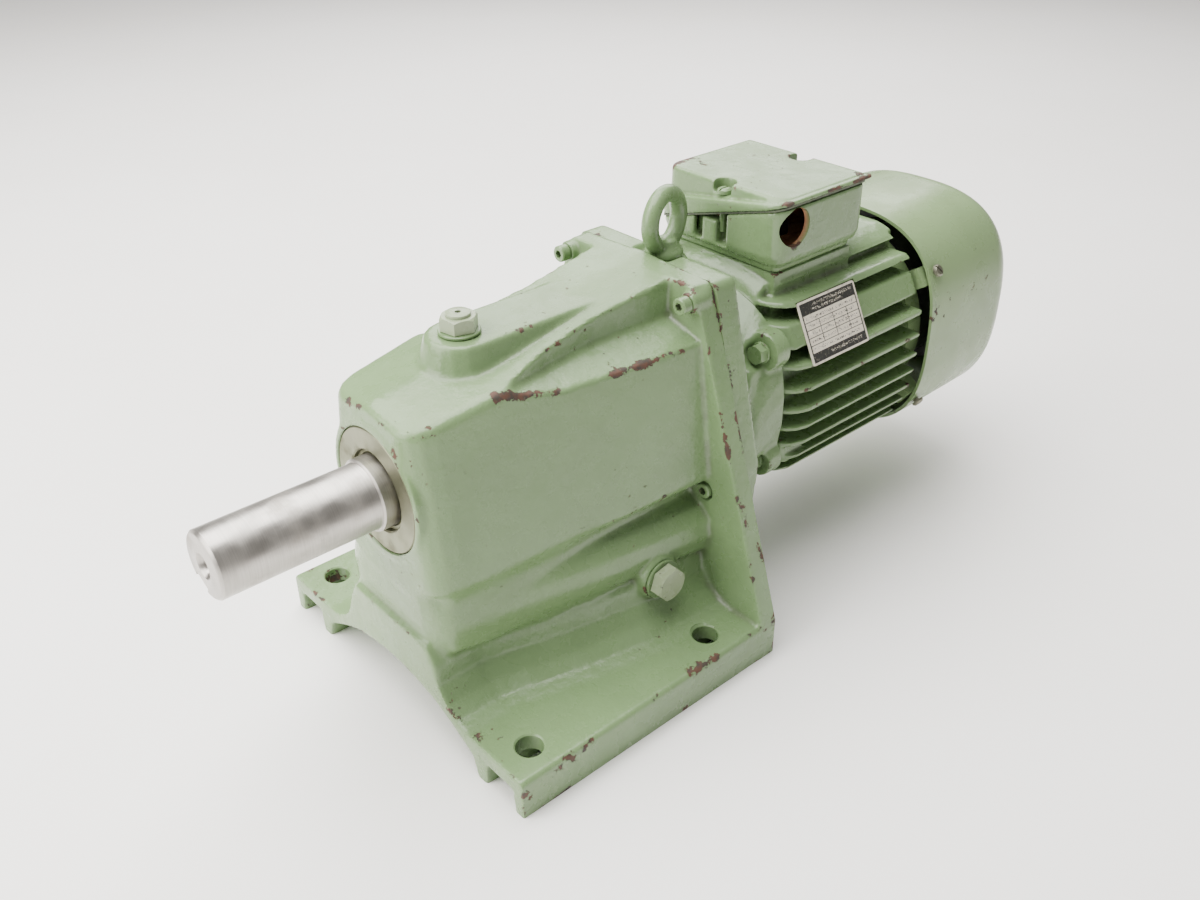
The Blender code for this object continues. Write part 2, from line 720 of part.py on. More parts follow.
def bolt_holes():
    """The four foot bolt holes."""
    first = FOOT_FRONT + FRONT_BOLT_SETBACK
    holes = []
    for x in (first, first + BOLT_SPACING_X):
        for side in (-1, 1):
            y = side * BOLT_SPACING_Y / 2
            holes.append(rod("bolt_hole", (x, y, -0.01), (x, y, FOOT_HEIGHT + 0.01),
                             BOLT_HOLE_DIAMETER / 2, sides=16))
    return holes


def cap_screws():
    """(side, y, z, head seat station) of the four screws that hold the case to the flange."""
    found = []
    for side in (-1, 1):
        found.append((side, CAP_UPPER_Y, CAP_UPPER_Z, WING_FRONT - 0.004))
        found.append((side, CAP_LOWER_Y, CAP_LOWER_Z, WING_FRONT + 0.004))
    return found


def make_case():
    """The cast gear case with its foot."""
    case = case_upper()
    join(case, case_belly(), case_core(), case_skirt(), case_wing())
    boss_radius = SEAL_BORE_RADIUS + SEAL_BOSS_WALL
    join(case, rod("seal_boss", (CASE_FRONT, 0, OUTPUT_HEIGHT),
                   (CASE_FRONT + NOSE_LENGTH * 1.6, 0, OUTPUT_HEIGHT), boss_radius, sides=32))
    cut(case, top_pocket(-1), top_pocket(1))
    join(case, vent_pad())
    for side, y, z, seat in cap_screws():
        if z > OUTPUT_HEIGHT:
            join(case, cap_boss(side, y, z, seat))
        else:
            cut(case, rod_x("screw_spot", seat - 0.02, seat, side * y, z, CAP_HEAD_RADIUS + 0.001, 16))
        cut(case, rod_x("screw_hole", seat - 0.03, CASE_REAR + 0.01, side * y, z,
                        CAP_SCREW_RADIUS + CLEARANCE, 12))
    cut(case, case_cavity(), *bolt_holes())
    cut(case, rod_x("output_bore", CASE_FRONT - 0.01, CAVITY_FRONT + 0.004, 0, OUTPUT_HEIGHT,
                    SEAL_BORE_RADIUS, 32))
    lay_bore = LAY_BEARING[1] + CLEARANCE
    cut(case, rod_x("lay_bore", CAVITY_FRONT - LAY_BEARING[2] - 0.003, CAVITY_FRONT + 0.004, 0,
                    LAY_HEIGHT, lay_bore, 24))
    vent_x = CASE_FRONT + VENT_STATION
    plug_hole = PLUG_SHANK_RADIUS + CLEARANCE
    cut(case, rod("vent_hole", (vent_x, 0, OUTPUT_HEIGHT), (vent_x, 0, VENT_PAD_HEIGHT + 0.01),
                  plug_hole, sides=16))
    level_x = CASE_FRONT + LEVEL_PLUG_STATION
    seat = -LEVEL_PLUG_SEAT
    join(case, rod("level_boss", (level_x, seat, LEVEL_PLUG_HEIGHT), (level_x, seat + 0.02,
                                                                    LEVEL_PLUG_HEIGHT), 0.0115, 0.014))
    cut(case, rod("level_hole", (level_x, seat - 0.01, LEVEL_PLUG_HEIGHT),
                  (level_x, 0, LEVEL_PLUG_HEIGHT), plug_hole, sides=16))
    finish(case, "gear_case", GREEN)


def flange_outline(top, top_half, waist_half, waist, bottom):
    """The outline of the adapter flange."""
    corners = [(top_half, top, 0.005), (waist_half, waist + 0.006, 0.012),
               (waist_half - 0.005, waist - 0.040, 0.012), (0.050, bottom, 0.020),
               (-0.050, bottom, 0.020), (-waist_half + 0.005, waist - 0.040, 0.012),
               (-waist_half, waist + 0.006, 0.012), (-top_half, top, 0.005)]
    return rounded(corners, segments=3)


def make_motor_shield():
    """The motor's drive end shield, cast in one with the flange that closes the gear case."""
    flange = flange_outline(CASE_TOP_REAR + 0.0005, FLANGE_TOP_HALF, FLANGE_WAIST_HALF,
                            FLANGE_WAIST_HEIGHT, FLANGE_BOTTOM)
    shield = prism("motor_shield", flange, FLANGE_FRONT, FLANGE_REAR)
    inset = flange_outline(CASE_TOP_REAR - 0.006, FLANGE_TOP_HALF - 0.006, FLANGE_WAIST_HALF - 0.006,
                           FLANGE_WAIST_HEIGHT, FLANGE_BOTTOM + 0.010)
    count = len(inset)
    dish = squircle(SHIELD_HALF, MOTOR_HEIGHT, 2.4, count)
    start = round(count * 0.125)
    dish = [dish[(start - i) % count] for i in range(count)]
    middle = [(blend(a[0], b[0], 0.75), blend(a[1], b[1], 0.75)) for a, b in zip(inset, dish)]
    join(shield, loft("shield_dish", [at_station(FLANGE_REAR - 0.004, inset),
                                      at_station(FLANGE_REAR + 0.012, middle),
                                      at_station(SHIELD_REAR, dish)]))
    ear_front = SHIELD_REAR - EAR_THICKNESS
    for side_y in (-1, 1):
        for side_z in (-1, 1):
            y, z = side_y * TIE_HALF_Y, MOTOR_HEIGHT + side_z * TIE_HALF_Z
            join(shield, rod_x("ear", ear_front, SHIELD_REAR - 0.0002, y, z, EAR_RADIUS, 20))
            cut(shield, rod_x("ear_pocket", FLANGE_REAR + 0.002, ear_front, y + side_y * 0.002,
                              z + side_z * 0.001, TIE_HEAD_RADIUS + 0.003, 16))
            cut(shield, rod_x("tie_hole", ear_front - 0.01, SHIELD_REAR + 0.01, y, z,
                              TIE_RADIUS + CLEARANCE, 12))
    eye_x = FLANGE_FRONT + EYE_STATION
    join(shield, rod("eye_boss", (eye_x, 0, EYE_SEAT - 0.02), (eye_x, 0, EYE_SEAT),
                     EYE_COLLAR_RADIUS + 0.002))
    cut(shield, block("eye_seat", (eye_x - EYE_COLLAR_RADIUS - 0.0005, -0.0125, EYE_SEAT),
                      (SHIELD_REAR, 0.0125, EYE_SEAT + 0.02)))
    cut(shield, rod("eye_hole", (eye_x, 0, EYE_SEAT - EYE_SHANK_LENGTH - 0.002),
                    (eye_x, 0, EYE_SEAT + 0.01), EYE_SHANK_RADIUS + CLEARANCE, sides=16))
    seal_front = FLANGE_FRONT + 0.003
    bearing_front = SHIELD_REAR - MOTOR_BEARING[2] - 0.006
    cut(shield, rod_x("shaft_bore", FLANGE_FRONT - 0.01, SHIELD_REAR + 0.01, 0, MOTOR_HEIGHT, 0.0145, 20))
    cut(shield, rod_x("seal_bore", FLANGE_FRONT - 0.01, seal_front + MOTOR_SEAL[2] + CLEARANCE, 0,
                      MOTOR_HEIGHT, MOTOR_SEAL[1] + CLEARANCE, 24))
    cut(shield, rod_x("bearing_bore", bearing_front - CLEARANCE, SHIELD_REAR + 0.01, 0, MOTOR_HEIGHT,
                      MOTOR_BEARING[1] + CLEARANCE, 24))
    cut(shield, rod_x("lay_bore", FLANGE_FRONT - 0.01, FLANGE_FRONT + LAY_BEARING[2] + 0.0012, 0,
                      LAY_HEIGHT, LAY_BEARING[1] + CLEARANCE, 24))
    for side, y, z, _ in cap_screws():
        cut(shield, rod_x("cap_hole", FLANGE_FRONT - 0.01, FLANGE_FRONT + 0.010, side * y, z,
                          CAP_SCREW_RADIUS + CLEARANCE, 12))
    finish(shield, "motor_shield", GREEN)
    bearing("motor_bearing_front", MOTOR_BEARING, bearing_front, MOTOR_HEIGHT)
    seal = seal_ring("motor_seal", MOTOR_SEAL, seal_front, 0.0025)
    seal.location.z = MOTOR_HEIGHT
    finish(seal, "motor_seal", RUBBER)


def seal_ring(name, size, x_low, lip):
    """A shaft seal: a flat case with a recess round its lip."""
    inner, outer, width = size
    inner += CLEARANCE
    x_high = x_low + width
    profile = [(x_high, outer), (x_low + 0.0004, outer), (x_low, outer - 0.0004),
               (x_low, inner + lip), (x_low + 0.002, inner + lip - 0.0005),
               (x_low + 0.003, inner), (x_high, inner)]
    return turned(name, profile, OUTPUT_HEIGHT, steps=28)


def make_output():
    """The output shaft, its wheel, key, bearings and seal."""
    seat_radius = SEAL_SEAT_DIAMETER / 2
    shaft_radius = SHAFT_DIAMETER / 2
    front_bearing = CASE_FRONT + 0.011
    rear_bearing = CAVITY_FRONT - 0.006 - OUTPUT_BEARING[2]
    wheel_seat = seat_radius - 0.0005
    shaft_end = OUTPUT_WHEEL_REAR + 0.003
    shoulder_front = front_bearing + OUTPUT_BEARING[2] + CLEARANCE
    shoulder_rear = rear_bearing - CLEARANCE
    chamfer = 0.0015
    profile = [(shaft_end, 0), (shaft_end, wheel_seat - 0.001), (shaft_end - 0.001, wheel_seat),
               (OUTPUT_WHEEL_FRONT, wheel_seat), (OUTPUT_WHEEL_FRONT, seat_radius),
               (shoulder_rear, seat_radius), (shoulder_rear, seat_radius + 0.003),
               (shoulder_front, seat_radius + 0.003), (shoulder_front, seat_radius),
               (CASE_FRONT - SEAL_SEAT_LENGTH + 0.0008, seat_radius),
               (CASE_FRONT - SEAL_SEAT_LENGTH, seat_radius - 0.0008),
               (CASE_FRONT - SEAL_SEAT_LENGTH, shaft_radius),
               (TIP_X + chamfer, shaft_radius), (TIP_X, shaft_radius - chamfer),
               (TIP_X, 0.0055), (TIP_X + 0.002, 0.0045), (TIP_X + 0.010, 0.0045), (TIP_X + 0.0125, 0)]
    shaft = turned("output_shaft", profile, OUTPUT_HEIGHT, steps=32)
    key_low = OUTPUT_WHEEL_FRONT + 0.001
    key_high = OUTPUT_WHEEL_REAR - 0.001
    key_bottom = OUTPUT_HEIGHT + wheel_seat - 0.6 * KEY_HEIGHT
    low = (key_low, -KEY_WIDTH / 2, key_bottom)
    high = (key_high, KEY_WIDTH / 2, key_bottom + KEY_HEIGHT)
    room = Vector((CLEARANCE,) * 3)
    cut(shaft, block("key_seat", Vector(low) - room, Vector(high) + room))
    keyway = block("keyway", (TIP_X - 0.01, -KEY_WIDTH / 2, -0.02),
                   (TIP_X + KEYWAY_LENGTH, KEY_WIDTH / 2, -shaft_radius + 0.005))
    keyway.location = (0, 0, OUTPUT_HEIGHT)
    keyway.rotation_euler = (KEYWAY_TURN, 0, 0)
    cut(shaft, keyway)
    finish(shaft, "output_shaft", STEEL)
    finish(block("output_wheel_key", low, high), "output_wheel_key", DARK_STEEL)

    module = 2 * STAGE_TWO / (LAY_PINION_TEETH + OUTPUT_TEETH)
    wheel = gear("output_wheel", OUTPUT_TEETH, module, OUTPUT_HEIGHT, OUTPUT_WHEEL_FRONT + CLEARANCE,
                 OUTPUT_WHEEL_REAR, -math.pi / 2, 1)
    cut(wheel, rod_x("wheel_bore", OUTPUT_WHEEL_FRONT - 0.01, OUTPUT_WHEEL_REAR + 0.01, 0, OUTPUT_HEIGHT,
                     wheel_seat + CLEARANCE, 28))
    cut(wheel, block("wheel_keyway", (OUTPUT_WHEEL_FRONT - 0.01, -KEY_WIDTH / 2 - CLEARANCE, OUTPUT_HEIGHT),
                     (OUTPUT_WHEEL_REAR + 0.01, KEY_WIDTH / 2 + CLEARANCE,
                      key_bottom + KEY_HEIGHT + CLEARANCE)))
    finish(wheel, "output_wheel", STEEL)
    bearing("output_bearing_front", OUTPUT_BEARING, front_bearing, OUTPUT_HEIGHT)
    bearing("output_bearing_rear", OUTPUT_BEARING, rear_bearing, OUTPUT_HEIGHT)
    size = (seat_radius, SEAL_BORE_RADIUS - CLEARANCE, 0.010)
    finish(seal_ring("output_seal", size, CASE_FRONT + 0.0004, 0.002), "output_seal", SEAL_METAL)


def make_layshaft():
    """The intermediate shaft with its cut pinion, the wheel on it and its two bearings."""
    seat, _, width = LAY_BEARING
    front_bearing = CAVITY_FRONT - 0.0025 - width
    rear_bearing = FLANGE_FRONT + 0.0008
    shaft_radius = 0.0085
    module = 2 * STAGE_TWO / (LAY_PINION_TEETH + OUTPUT_TEETH)
    root = module * (LAY_PINION_TEETH / 2 - DEDENDUM)
    places = [(front_bearing, OUTPUT_WHEEL_FRONT - 0.001, seat),
              (OUTPUT_WHEEL_FRONT - 0.001, LAY_WHEEL_FRONT, root - 0.0004),
              (LAY_WHEEL_FRONT, rear_bearing - CLEARANCE, shaft_radius),
              (rear_bearing - CLEARANCE, rear_bearing + width, seat)]
    shaft = stepped("layshaft_body", places, LAY_HEIGHT, 20)
    pinion = gear("lay_pinion", LAY_PINION_TEETH, module, LAY_HEIGHT, OUTPUT_WHEEL_FRONT + CLEARANCE,
                  OUTPUT_WHEEL_REAR, math.pi / 2 + math.pi / LAY_PINION_TEETH, -1)
    finish(join(pinion, shaft), "layshaft", STEEL)

    module = 2 * STAGE_ONE / (MOTOR_TEETH + LAY_WHEEL_TEETH)
    wheel = gear("layshaft_wheel", LAY_WHEEL_TEETH, module, LAY_HEIGHT, LAY_WHEEL_FRONT + CLEARANCE,
                 LAY_WHEEL_REAR, math.pi / 2, 1)
    cut(wheel, rod_x("wheel_bore", LAY_WHEEL_FRONT - 0.01, LAY_WHEEL_REAR + 0.01, 0, LAY_HEIGHT,
                     shaft_radius + CLEARANCE, 28))
    finish(wheel, "layshaft_wheel", STEEL)
    bearing("layshaft_bearing_front", LAY_BEARING, front_bearing, LAY_HEIGHT)
    bearing("layshaft_bearing_rear", LAY_BEARING, rear_bearing, LAY_HEIGHT)


def make_rotor():
    """The motor shaft with its pinion, rotor core, brake hub, friction disc and fan."""
    stub = 0.0045
    seal_seat = MOTOR_SEAL[0]
    brake_seat = BRAKE_BEARING[0]
    tail = 0.008
    shoulder = SHIELD_REAR - 0.006 + CLEARANCE
    brake_bearing = BRAKE_SHIELD_FRONT - 0.0025
    shaft = stepped("motor_shaft", [(LAY_WHEEL_FRONT - 0.001, LAY_WHEEL_REAR + 0.001, stub),
                                    (LAY_WHEEL_REAR + 0.001, shoulder, seal_seat),
                                    (shoulder, CORE_FRONT, seal_seat + 0.003),
                                    (CORE_FRONT, CORE_REAR, seal_seat + 0.004),
                                    (CORE_REAR, brake_bearing - CLEARANCE, seal_seat + 0.001),
                                    (brake_bearing - CLEARANCE, BRAKE_FACE - 0.001, brake_seat),
                                    (BRAKE_FACE - 0.001, FAN_REAR - 0.002, tail)], MOTOR_HEIGHT, 20)
    finish(shaft, "motor_shaft", STEEL)
    module = 2 * STAGE_ONE / (MOTOR_TEETH + LAY_WHEEL_TEETH)
    pinion = gear("motor_pinion", MOTOR_TEETH, module, MOTOR_HEIGHT, LAY_WHEEL_FRONT + CLEARANCE,
                  LAY_WHEEL_REAR, -math.pi / 2 + math.pi / MOTOR_TEETH, -1)
    cut(pinion, rod_x("pinion_bore", LAY_WHEEL_FRONT - 0.01, LAY_WHEEL_REAR + 0.01, 0, MOTOR_HEIGHT,
                      stub + CLEARANCE, 20))
    finish(pinion, "motor_pinion", STEEL)
    core = tube("rotor_core", CORE_FRONT, CORE_REAR, MOTOR_HEIGHT, STATOR_INNER_RADIUS - AIR_GAP,
                seal_seat + 0.004 + CLEARANCE)
    finish(core, "rotor_core", LAMINATE)

    hub_high = FRICTION_FRONT + FRICTION_THICKNESS
    hub = block("brake_hub", (FRICTION_FRONT, -HUB_HALF, MOTOR_HEIGHT - HUB_HALF),
                (hub_high, HUB_HALF, MOTOR_HEIGHT + HUB_HALF))
    cut(hub, rod_x("hub_bore", FRICTION_FRONT - 0.01, hub_high + 0.01, 0, MOTOR_HEIGHT,
                   tail + CLEARANCE, 20))
    finish(hub, "brake_hub", DARK_STEEL)
    disc = rod_x("friction_disc", FRICTION_FRONT, hub_high, 0, MOTOR_HEIGHT, FRICTION_RADIUS, 36)
    window = HUB_HALF + CLEARANCE
    cut(disc, block("hub_window", (FRICTION_FRONT - 0.01, -window, MOTOR_HEIGHT - window),
                    (hub_high + 0.01, window, MOTOR_HEIGHT + window)))
    finish(disc, "friction_disc", FRICTION)
    make_fan(tail)


def make_fan(shaft_radius):
    """The cooling fan: a hub and a back plate with radial blades."""
    bore = shaft_radius + CLEARANCE
    plate = 0.002
    profile = [(FAN_REAR, 0.0125), (FAN_FRONT + plate, 0.0135), (FAN_FRONT + plate, FAN_RADIUS - 0.001),
               (FAN_FRONT, FAN_RADIUS - 0.001), (FAN_FRONT, bore), (FAN_REAR, bore)]
    fan = turned("fan", profile, MOTOR_HEIGHT)
    for k in range(FAN_BLADES):
        blade = block("blade", (FAN_FRONT + plate / 2, -0.0011, 0.012),
                      (FAN_REAR - 0.003, 0.0011, FAN_RADIUS))
        blade.rotation_euler = (2 * math.pi * k / FAN_BLADES, 0, 0)
        blade.location = (0, 0, MOTOR_HEIGHT)
        join(fan, blade)
    finish(fan, "fan", PLASTIC)


def plate_pad_line():
    """The two (y, z) ends of the flat face that the rating plate lies on."""
    out = Vector((-math.cos(PLATE_TILT), math.sin(PLATE_TILT)))
    along = Vector((math.sin(PLATE_TILT), math.cos(PLATE_TILT)))
    middle = Vector((-PLATE_OUT, MOTOR_HEIGHT + PLATE_UP)) - out * (PLATE_THICKNESS + CLEARANCE)
    reach = PLATE_WIDTH / 2 + 0.0016
    return tuple(middle - along * reach), tuple(middle + along * reach)


def side_fins():
    """The horizontal fins on both sides, but none where the plate's pad is."""
    half = FIN_THICKNESS / 2
    boxes = []
    for k in range(-4, 4):
        z = MOTOR_HEIGHT + (k + 0.5) * FIN_PITCH
        root = 0.031 if -4 < k < 3 else 0.010
        for side in (-1, 1):
            if side < 0 and k > 0:
                continue
            low_y, high_y = sorted((side * root, side * 0.075))
            boxes.append(((STATOR_FRONT - 0.004, low_y, z - half), (STATOR_REAR + 0.004, high_y, z + half)))
    for side in (-1, 1):
        z = MOTOR_HEIGHT + 4.32 * FIN_PITCH
        low_y, high_y = sorted((side * 0.025, side * 0.060))
        boxes.append(((STATOR_FRONT - 0.0035, low_y, z - 0.0013), (STATOR_REAR + 0.0035, high_y, z + 0.0013)))
    return blocks("side_fins", boxes)


def bottom_fins():
    """The vertical fins under the stator housing."""
    half = FIN_THICKNESS / 2
    boxes = []
    for k in range(-2, 3):
        y = k * 0.0125
        boxes.append(((STATOR_FRONT - 0.005, y - half, MOTOR_HEIGHT - 0.075),
                      (STATOR_REAR + 0.005, y + half, MOTOR_HEIGHT - 0.030)))
    return blocks("bottom_fins", boxes)


def make_stator():
    """The finned housing, the slotted core and its winding."""
    z0 = MOTOR_HEIGHT
    housing = rod_x("stator_housing", STATOR_FRONT - 0.006, STATOR_REAR + 0.006, 0, z0, BARREL_RADIUS, 40)
    join(housing, side_fins(), bottom_fins())
    pad_low, pad_high = plate_pad_line()
    pad = [pad_low, pad_high, (-0.028, pad_high[1]), (-0.028, pad_low[1])]
    join(housing, prism("plate_pad", pad, STATOR_FRONT - 0.003, STATOR_REAR + 0.003))
    boss_half_y, boss_half_z = 0.0085, 0.0075
    for side_y in (-1, 1):
        for side_z in (-1, 1):
            if side_y < 0 < side_z:
                continue
            y, z = side_y * (TIE_HALF_Y - 0.002), z0 + side_z * TIE_HALF_Z
            join(housing, block("tie_boss", (STATOR_FRONT - 0.002, y - boss_half_y, z - boss_half_z),
                                (STATOR_FRONT + TIE_LENGTH, y + boss_half_y, z + boss_half_z)))
    pad_half = BOX_HALF_WIDTH - BOX_NECK_INSET
    join(housing, block("top_pad", (STATOR_FRONT - 0.0025, -0.034, z0 + 0.030),
                        (STATOR_REAR + 0.0025, 0.034, BOX_FLOOR - 0.0015)))
    ramp = [(STATOR_FRONT, 0.055), (STATOR_FRONT + 0.003, 0.0595), (STATOR_FRONT + 0.008, 0.063),
            (STATOR_FRONT + 0.015, FIN_HALF), (STATOR_REAR, FIN_HALF)]
    envelope = loft("envelope", [at_station(x, squircle(half, z0)) for x, half in ramp])
    boolean(housing, envelope, "INTERSECT")
    join(housing, block("box_pad", (BOX_FRONT + BOX_NECK_INSET, -pad_half, z0 + 0.040),
                        (BOX_REAR - BOX_NECK_INSET, pad_half, BOX_FLOOR - CLEARANCE)))
    cut(housing, rod_x("stator_bore", STATOR_FRONT - 0.01, STATOR_REAR + 0.01, 0, z0,
                       STATOR_BORE_RADIUS, 40))
    for side_y in (-1, 1):
        for side_z in (-1, 1):
            cut(housing, rod_x("tie_thread", STATOR_FRONT - 0.01, STATOR_FRONT + TIE_LENGTH - 0.002,
                               side_y * TIE_HALF_Y, z0 + side_z * TIE_HALF_Z, TIE_RADIUS + CLEARANCE, 12))
    lead_x = BOX_FRONT + LEAD_HOLE_STATION
    cut(housing, rod("lead_hole", (lead_x, 0, z0 + 0.02), (lead_x, 0, BOX_FLOOR + 0.01),
                     LEAD_HOLE_RADIUS, sides=16))
    finish(housing, "stator_housing", GREEN)
    make_windings()


def make_windings():
    """The stator core and the winding in its slots, with an end turn ring at each end."""
    z0 = MOTOR_HEIGHT
    inner = STATOR_INNER_RADIUS
    outer = STATOR_BORE_RADIUS - CLEARANCE
    slot_high = inner + 0.62 * STATOR_WALL
    core = tube("stator_core", CORE_FRONT, CORE_REAR, z0, outer, inner, steps=38)
    bars = blocks("bars", [((CORE_FRONT - 0.001, -0.0028, inner + 0.0024),
                            (CORE_REAR + 0.001, 0.0028, slot_high - CLEARANCE))])
    slots = blocks("slots", [((CORE_FRONT - 0.01, -0.0031, inner - 0.002),
                              (CORE_REAR + 0.01, 0.0031, slot_high))])
    ring_inner, ring_outer = inner + 0.0016, slot_high + 0.002
    winding = tube("stator_winding", CORE_FRONT - END_TURN_LENGTH, CORE_FRONT - CLEARANCE, z0,
                   ring_outer, ring_inner, steps=34)
    rear_ring = tube("rear_turns", CORE_REAR + CLEARANCE, CORE_REAR + END_TURN_LENGTH, z0,
                     ring_outer, ring_inner, steps=34)
    for k in range(SLOTS):
        angle = 2 * math.pi * (k + 0.5) / SLOTS
        for master, target, operation in ((slots, core, "DIFFERENCE"), (bars, winding, "UNION")):
            copy = bpy.data.objects.new(master.name, master.data)
            CUTTERS.objects.link(copy)
            copy.hide_render = True
            copy.rotation_euler = (angle, 0, 0)
            copy.location = (0, 0, z0)
            boolean(target, copy, operation)
    join(winding, rear_ring)
    for master in (bars, slots):
        bpy.data.objects.remove(master)
    finish(core, "stator_core", LAMINATE)
    finish(winding, "stator_winding", COPPER)


def lug_reach(angle):
    """The distance from the motor axis to the cover's inner face at an angle."""
    inner = COVER_HALF - COVER_WALL
    c, s = abs(math.cos(angle)), abs(math.sin(angle))
    return inner / (c ** FIN_SQUARENESS + s ** FIN_SQUARENESS) ** (1 / FIN_SQUARENESS)


def screw_angles():
    """The four angles of the cover screws about the motor axis."""
    base = COVER_SCREW_ANGLE
    return (base, math.pi - base, math.pi + base, -base)


def make_brake_shield():
    """The rear end shield, whose outer face is the brake's friction face."""
    z0 = MOTOR_HEIGHT
    plate_radius = 0.0545
    shield = rod_x("brake_shield", BRAKE_SHIELD_FRONT, BRAKE_FACE, 0, z0, plate_radius, 40)
    boss_radius = BRAKE_BEARING[1] + 0.0045
    join(shield, rod_x("bearing_boss", BRAKE_SHIELD_FRONT - 0.004, BRAKE_SHIELD_FRONT + 0.002, 0, z0,
                       boss_radius, 32))
    screw_x = COVER_FRONT + COVER_SCREW_SETBACK
    for angle in screw_angles():
        lug = block("lug", (BRAKE_SHIELD_FRONT + 0.0002, -0.0055, 0.045),
                    (BRAKE_FACE - 0.0002, 0.0055, lug_reach(angle) - 0.0018))
        lug.rotation_euler = (angle - math.pi / 2, 0, 0)
        lug.location = (0, 0, z0)
        join(shield, lug)
        direction = Vector((0, math.cos(angle), math.sin(angle)))
        axis_point = Vector((screw_x, 0, z0))
        cut(shield, rod("lug_hole", axis_point + direction * 0.054, axis_point + direction * 0.09,
                        0.0018 + CLEARANCE, sides=12))
    bearing_front = BRAKE_SHIELD_FRONT - 0.0025
    cut(shield, rod_x("bearing_bore", BRAKE_SHIELD_FRONT - 0.02, bearing_front + BRAKE_BEARING[2]
                      + CLEARANCE, 0, z0, BRAKE_BEARING[1] + CLEARANCE, 28))
    cut(shield, rod_x("shaft_hole", BRAKE_SHIELD_FRONT - 0.02, BRAKE_FACE + 0.01, 0, z0, 0.0105, 24))
    for angle in brake_screw_angles():
        cut(shield, rod_x("brake_thread", BRAKE_FACE - 0.008, BRAKE_FACE + 0.01,
                          BRAKE_BOLT_CIRCLE * math.cos(angle), z0 + BRAKE_BOLT_CIRCLE * math.sin(angle),
                          BRAKE_SCREW_RADIUS + CLEARANCE, 12))
    finish(shield, "brake_shield", GREEN)
    bearing("motor_bearing_rear", BRAKE_BEARING, bearing_front, z0)


def brake_screw_angles():
    """The angles of the three brake screws; the springs lie half way between them."""
    return [math.radians(95 + 120 * k) for k in range(3)]


def make_brake():
    """The magnet body with its coil, springs and screws, and the armature plate."""
    z0 = MOTOR_HEIGHT
    outer, bore = ARMATURE_RADIUS + 0.001, 0.0105
    groove_end = MAGNET_FRONT + COIL_DEPTH
    magnet = turned("brake_magnet", [(MAGNET_REAR, outer), (MAGNET_FRONT, outer),
                                     (MAGNET_FRONT, COIL_OUTER_RADIUS), (groove_end, COIL_OUTER_RADIUS),
                                     (groove_end, COIL_INNER_RADIUS), (MAGNET_FRONT, COIL_INNER_RADIUS),
                                     (MAGNET_FRONT, bore), (MAGNET_REAR, bore)], z0)
    coil = tube("brake_coil", MAGNET_FRONT, MAGNET_FRONT + COIL_DEPTH - CLEARANCE, z0,
                COIL_OUTER_RADIUS - CLEARANCE, COIL_INNER_RADIUS + CLEARANCE)
    armature = tube("brake_armature", ARMATURE_FRONT, ARMATURE_FRONT + ARMATURE_THICKNESS, z0,
                    ARMATURE_RADIUS, 0.018)
    for number, angle in enumerate(brake_screw_angles(), start=1):
        y, z = BRAKE_BOLT_CIRCLE * math.cos(angle), z0 + BRAKE_BOLT_CIRCLE * math.sin(angle)
        cut(magnet, rod_x("screw_way", MAGNET_FRONT - 0.01, MAGNET_REAR + 0.01, y, z,
                          BRAKE_SCREW_RADIUS + CLEARANCE, 12))
        cut(armature, rod_x("screw_way", ARMATURE_FRONT - 0.01, ARMATURE_FRONT + 0.02, y, z,
                            BRAKE_SCREW_RADIUS + 2 * CLEARANCE, 12))
        screw = rod_x("brake_screw", BRAKE_FACE - 0.0075, MAGNET_REAR + 0.002, y, z, BRAKE_SCREW_RADIUS, 12)
        join(screw, rod_x("brake_screw_head", MAGNET_REAR + CLEARANCE, MAGNET_REAR + 0.0053, y, z,
                          0.00425, 12))
        finish(screw, f"brake_screw_{number}", ZINC)
        middle = angle + math.radians(60)
        y, z = BRAKE_BOLT_CIRCLE * math.cos(middle), z0 + BRAKE_BOLT_CIRCLE * math.sin(middle)
        cut(magnet, rod_x("spring_bore", MAGNET_FRONT - 0.01, MAGNET_FRONT + SPRING_LENGTH, y, z,
                          SPRING_RADIUS + CLEARANCE, 12))
        spring = rod_x("brake_spring", MAGNET_FRONT, MAGNET_FRONT + SPRING_LENGTH - CLEARANCE, y, z,
                       SPRING_RADIUS, 12)
        finish(spring, f"brake_spring_{number}", STEEL)
    finish(magnet, "brake_magnet", DARK_STEEL)
    finish(coil, "brake_coil", COPPER)
    finish(armature, "brake_armature", DARK_STEEL)


def cover_skin(name, wall):
    """The solid inside a skin of the fan cover, a wall in from its outer face."""
    half_rear = COVER_HALF - 0.001
    depth = COVER_ROUND
    straight = COVER_REAR - depth
    sections = [at_station(COVER_FRONT - (0.01 if wall else 0), squircle(COVER_HALF - wall, MOTOR_HEIGHT)),
                at_station(straight, squircle(half_rear - wall, MOTOR_HEIGHT))]
    for k in range(1, 4):
        angle = math.radians(90 * k / 3)
        x = straight + (depth - wall) * math.sin(angle)
        half = half_rear - wall - (depth - wall) * (1 - math.cos(angle))
        sections.append(at_station(x, squircle(half, MOTOR_HEIGHT)))
    return loft(name, sections)


def grille_slot(radius, start, end):
    """An arc slot through the cover's rear wall."""
    x_low, x_high = COVER_REAR - 0.01, COVER_REAR + 0.01
    outline = []
    for r, first, last in ((radius + GRILLE_SLOT / 2, start, end), (radius - GRILLE_SLOT / 2, end, start)):
        for k in range(6):
            angle = blend(first, last, k / 5)
            outline.append((r * math.cos(angle), MOTOR_HEIGHT + r * math.sin(angle)))
    return prism("grille_slot", outline, x_low, x_high)


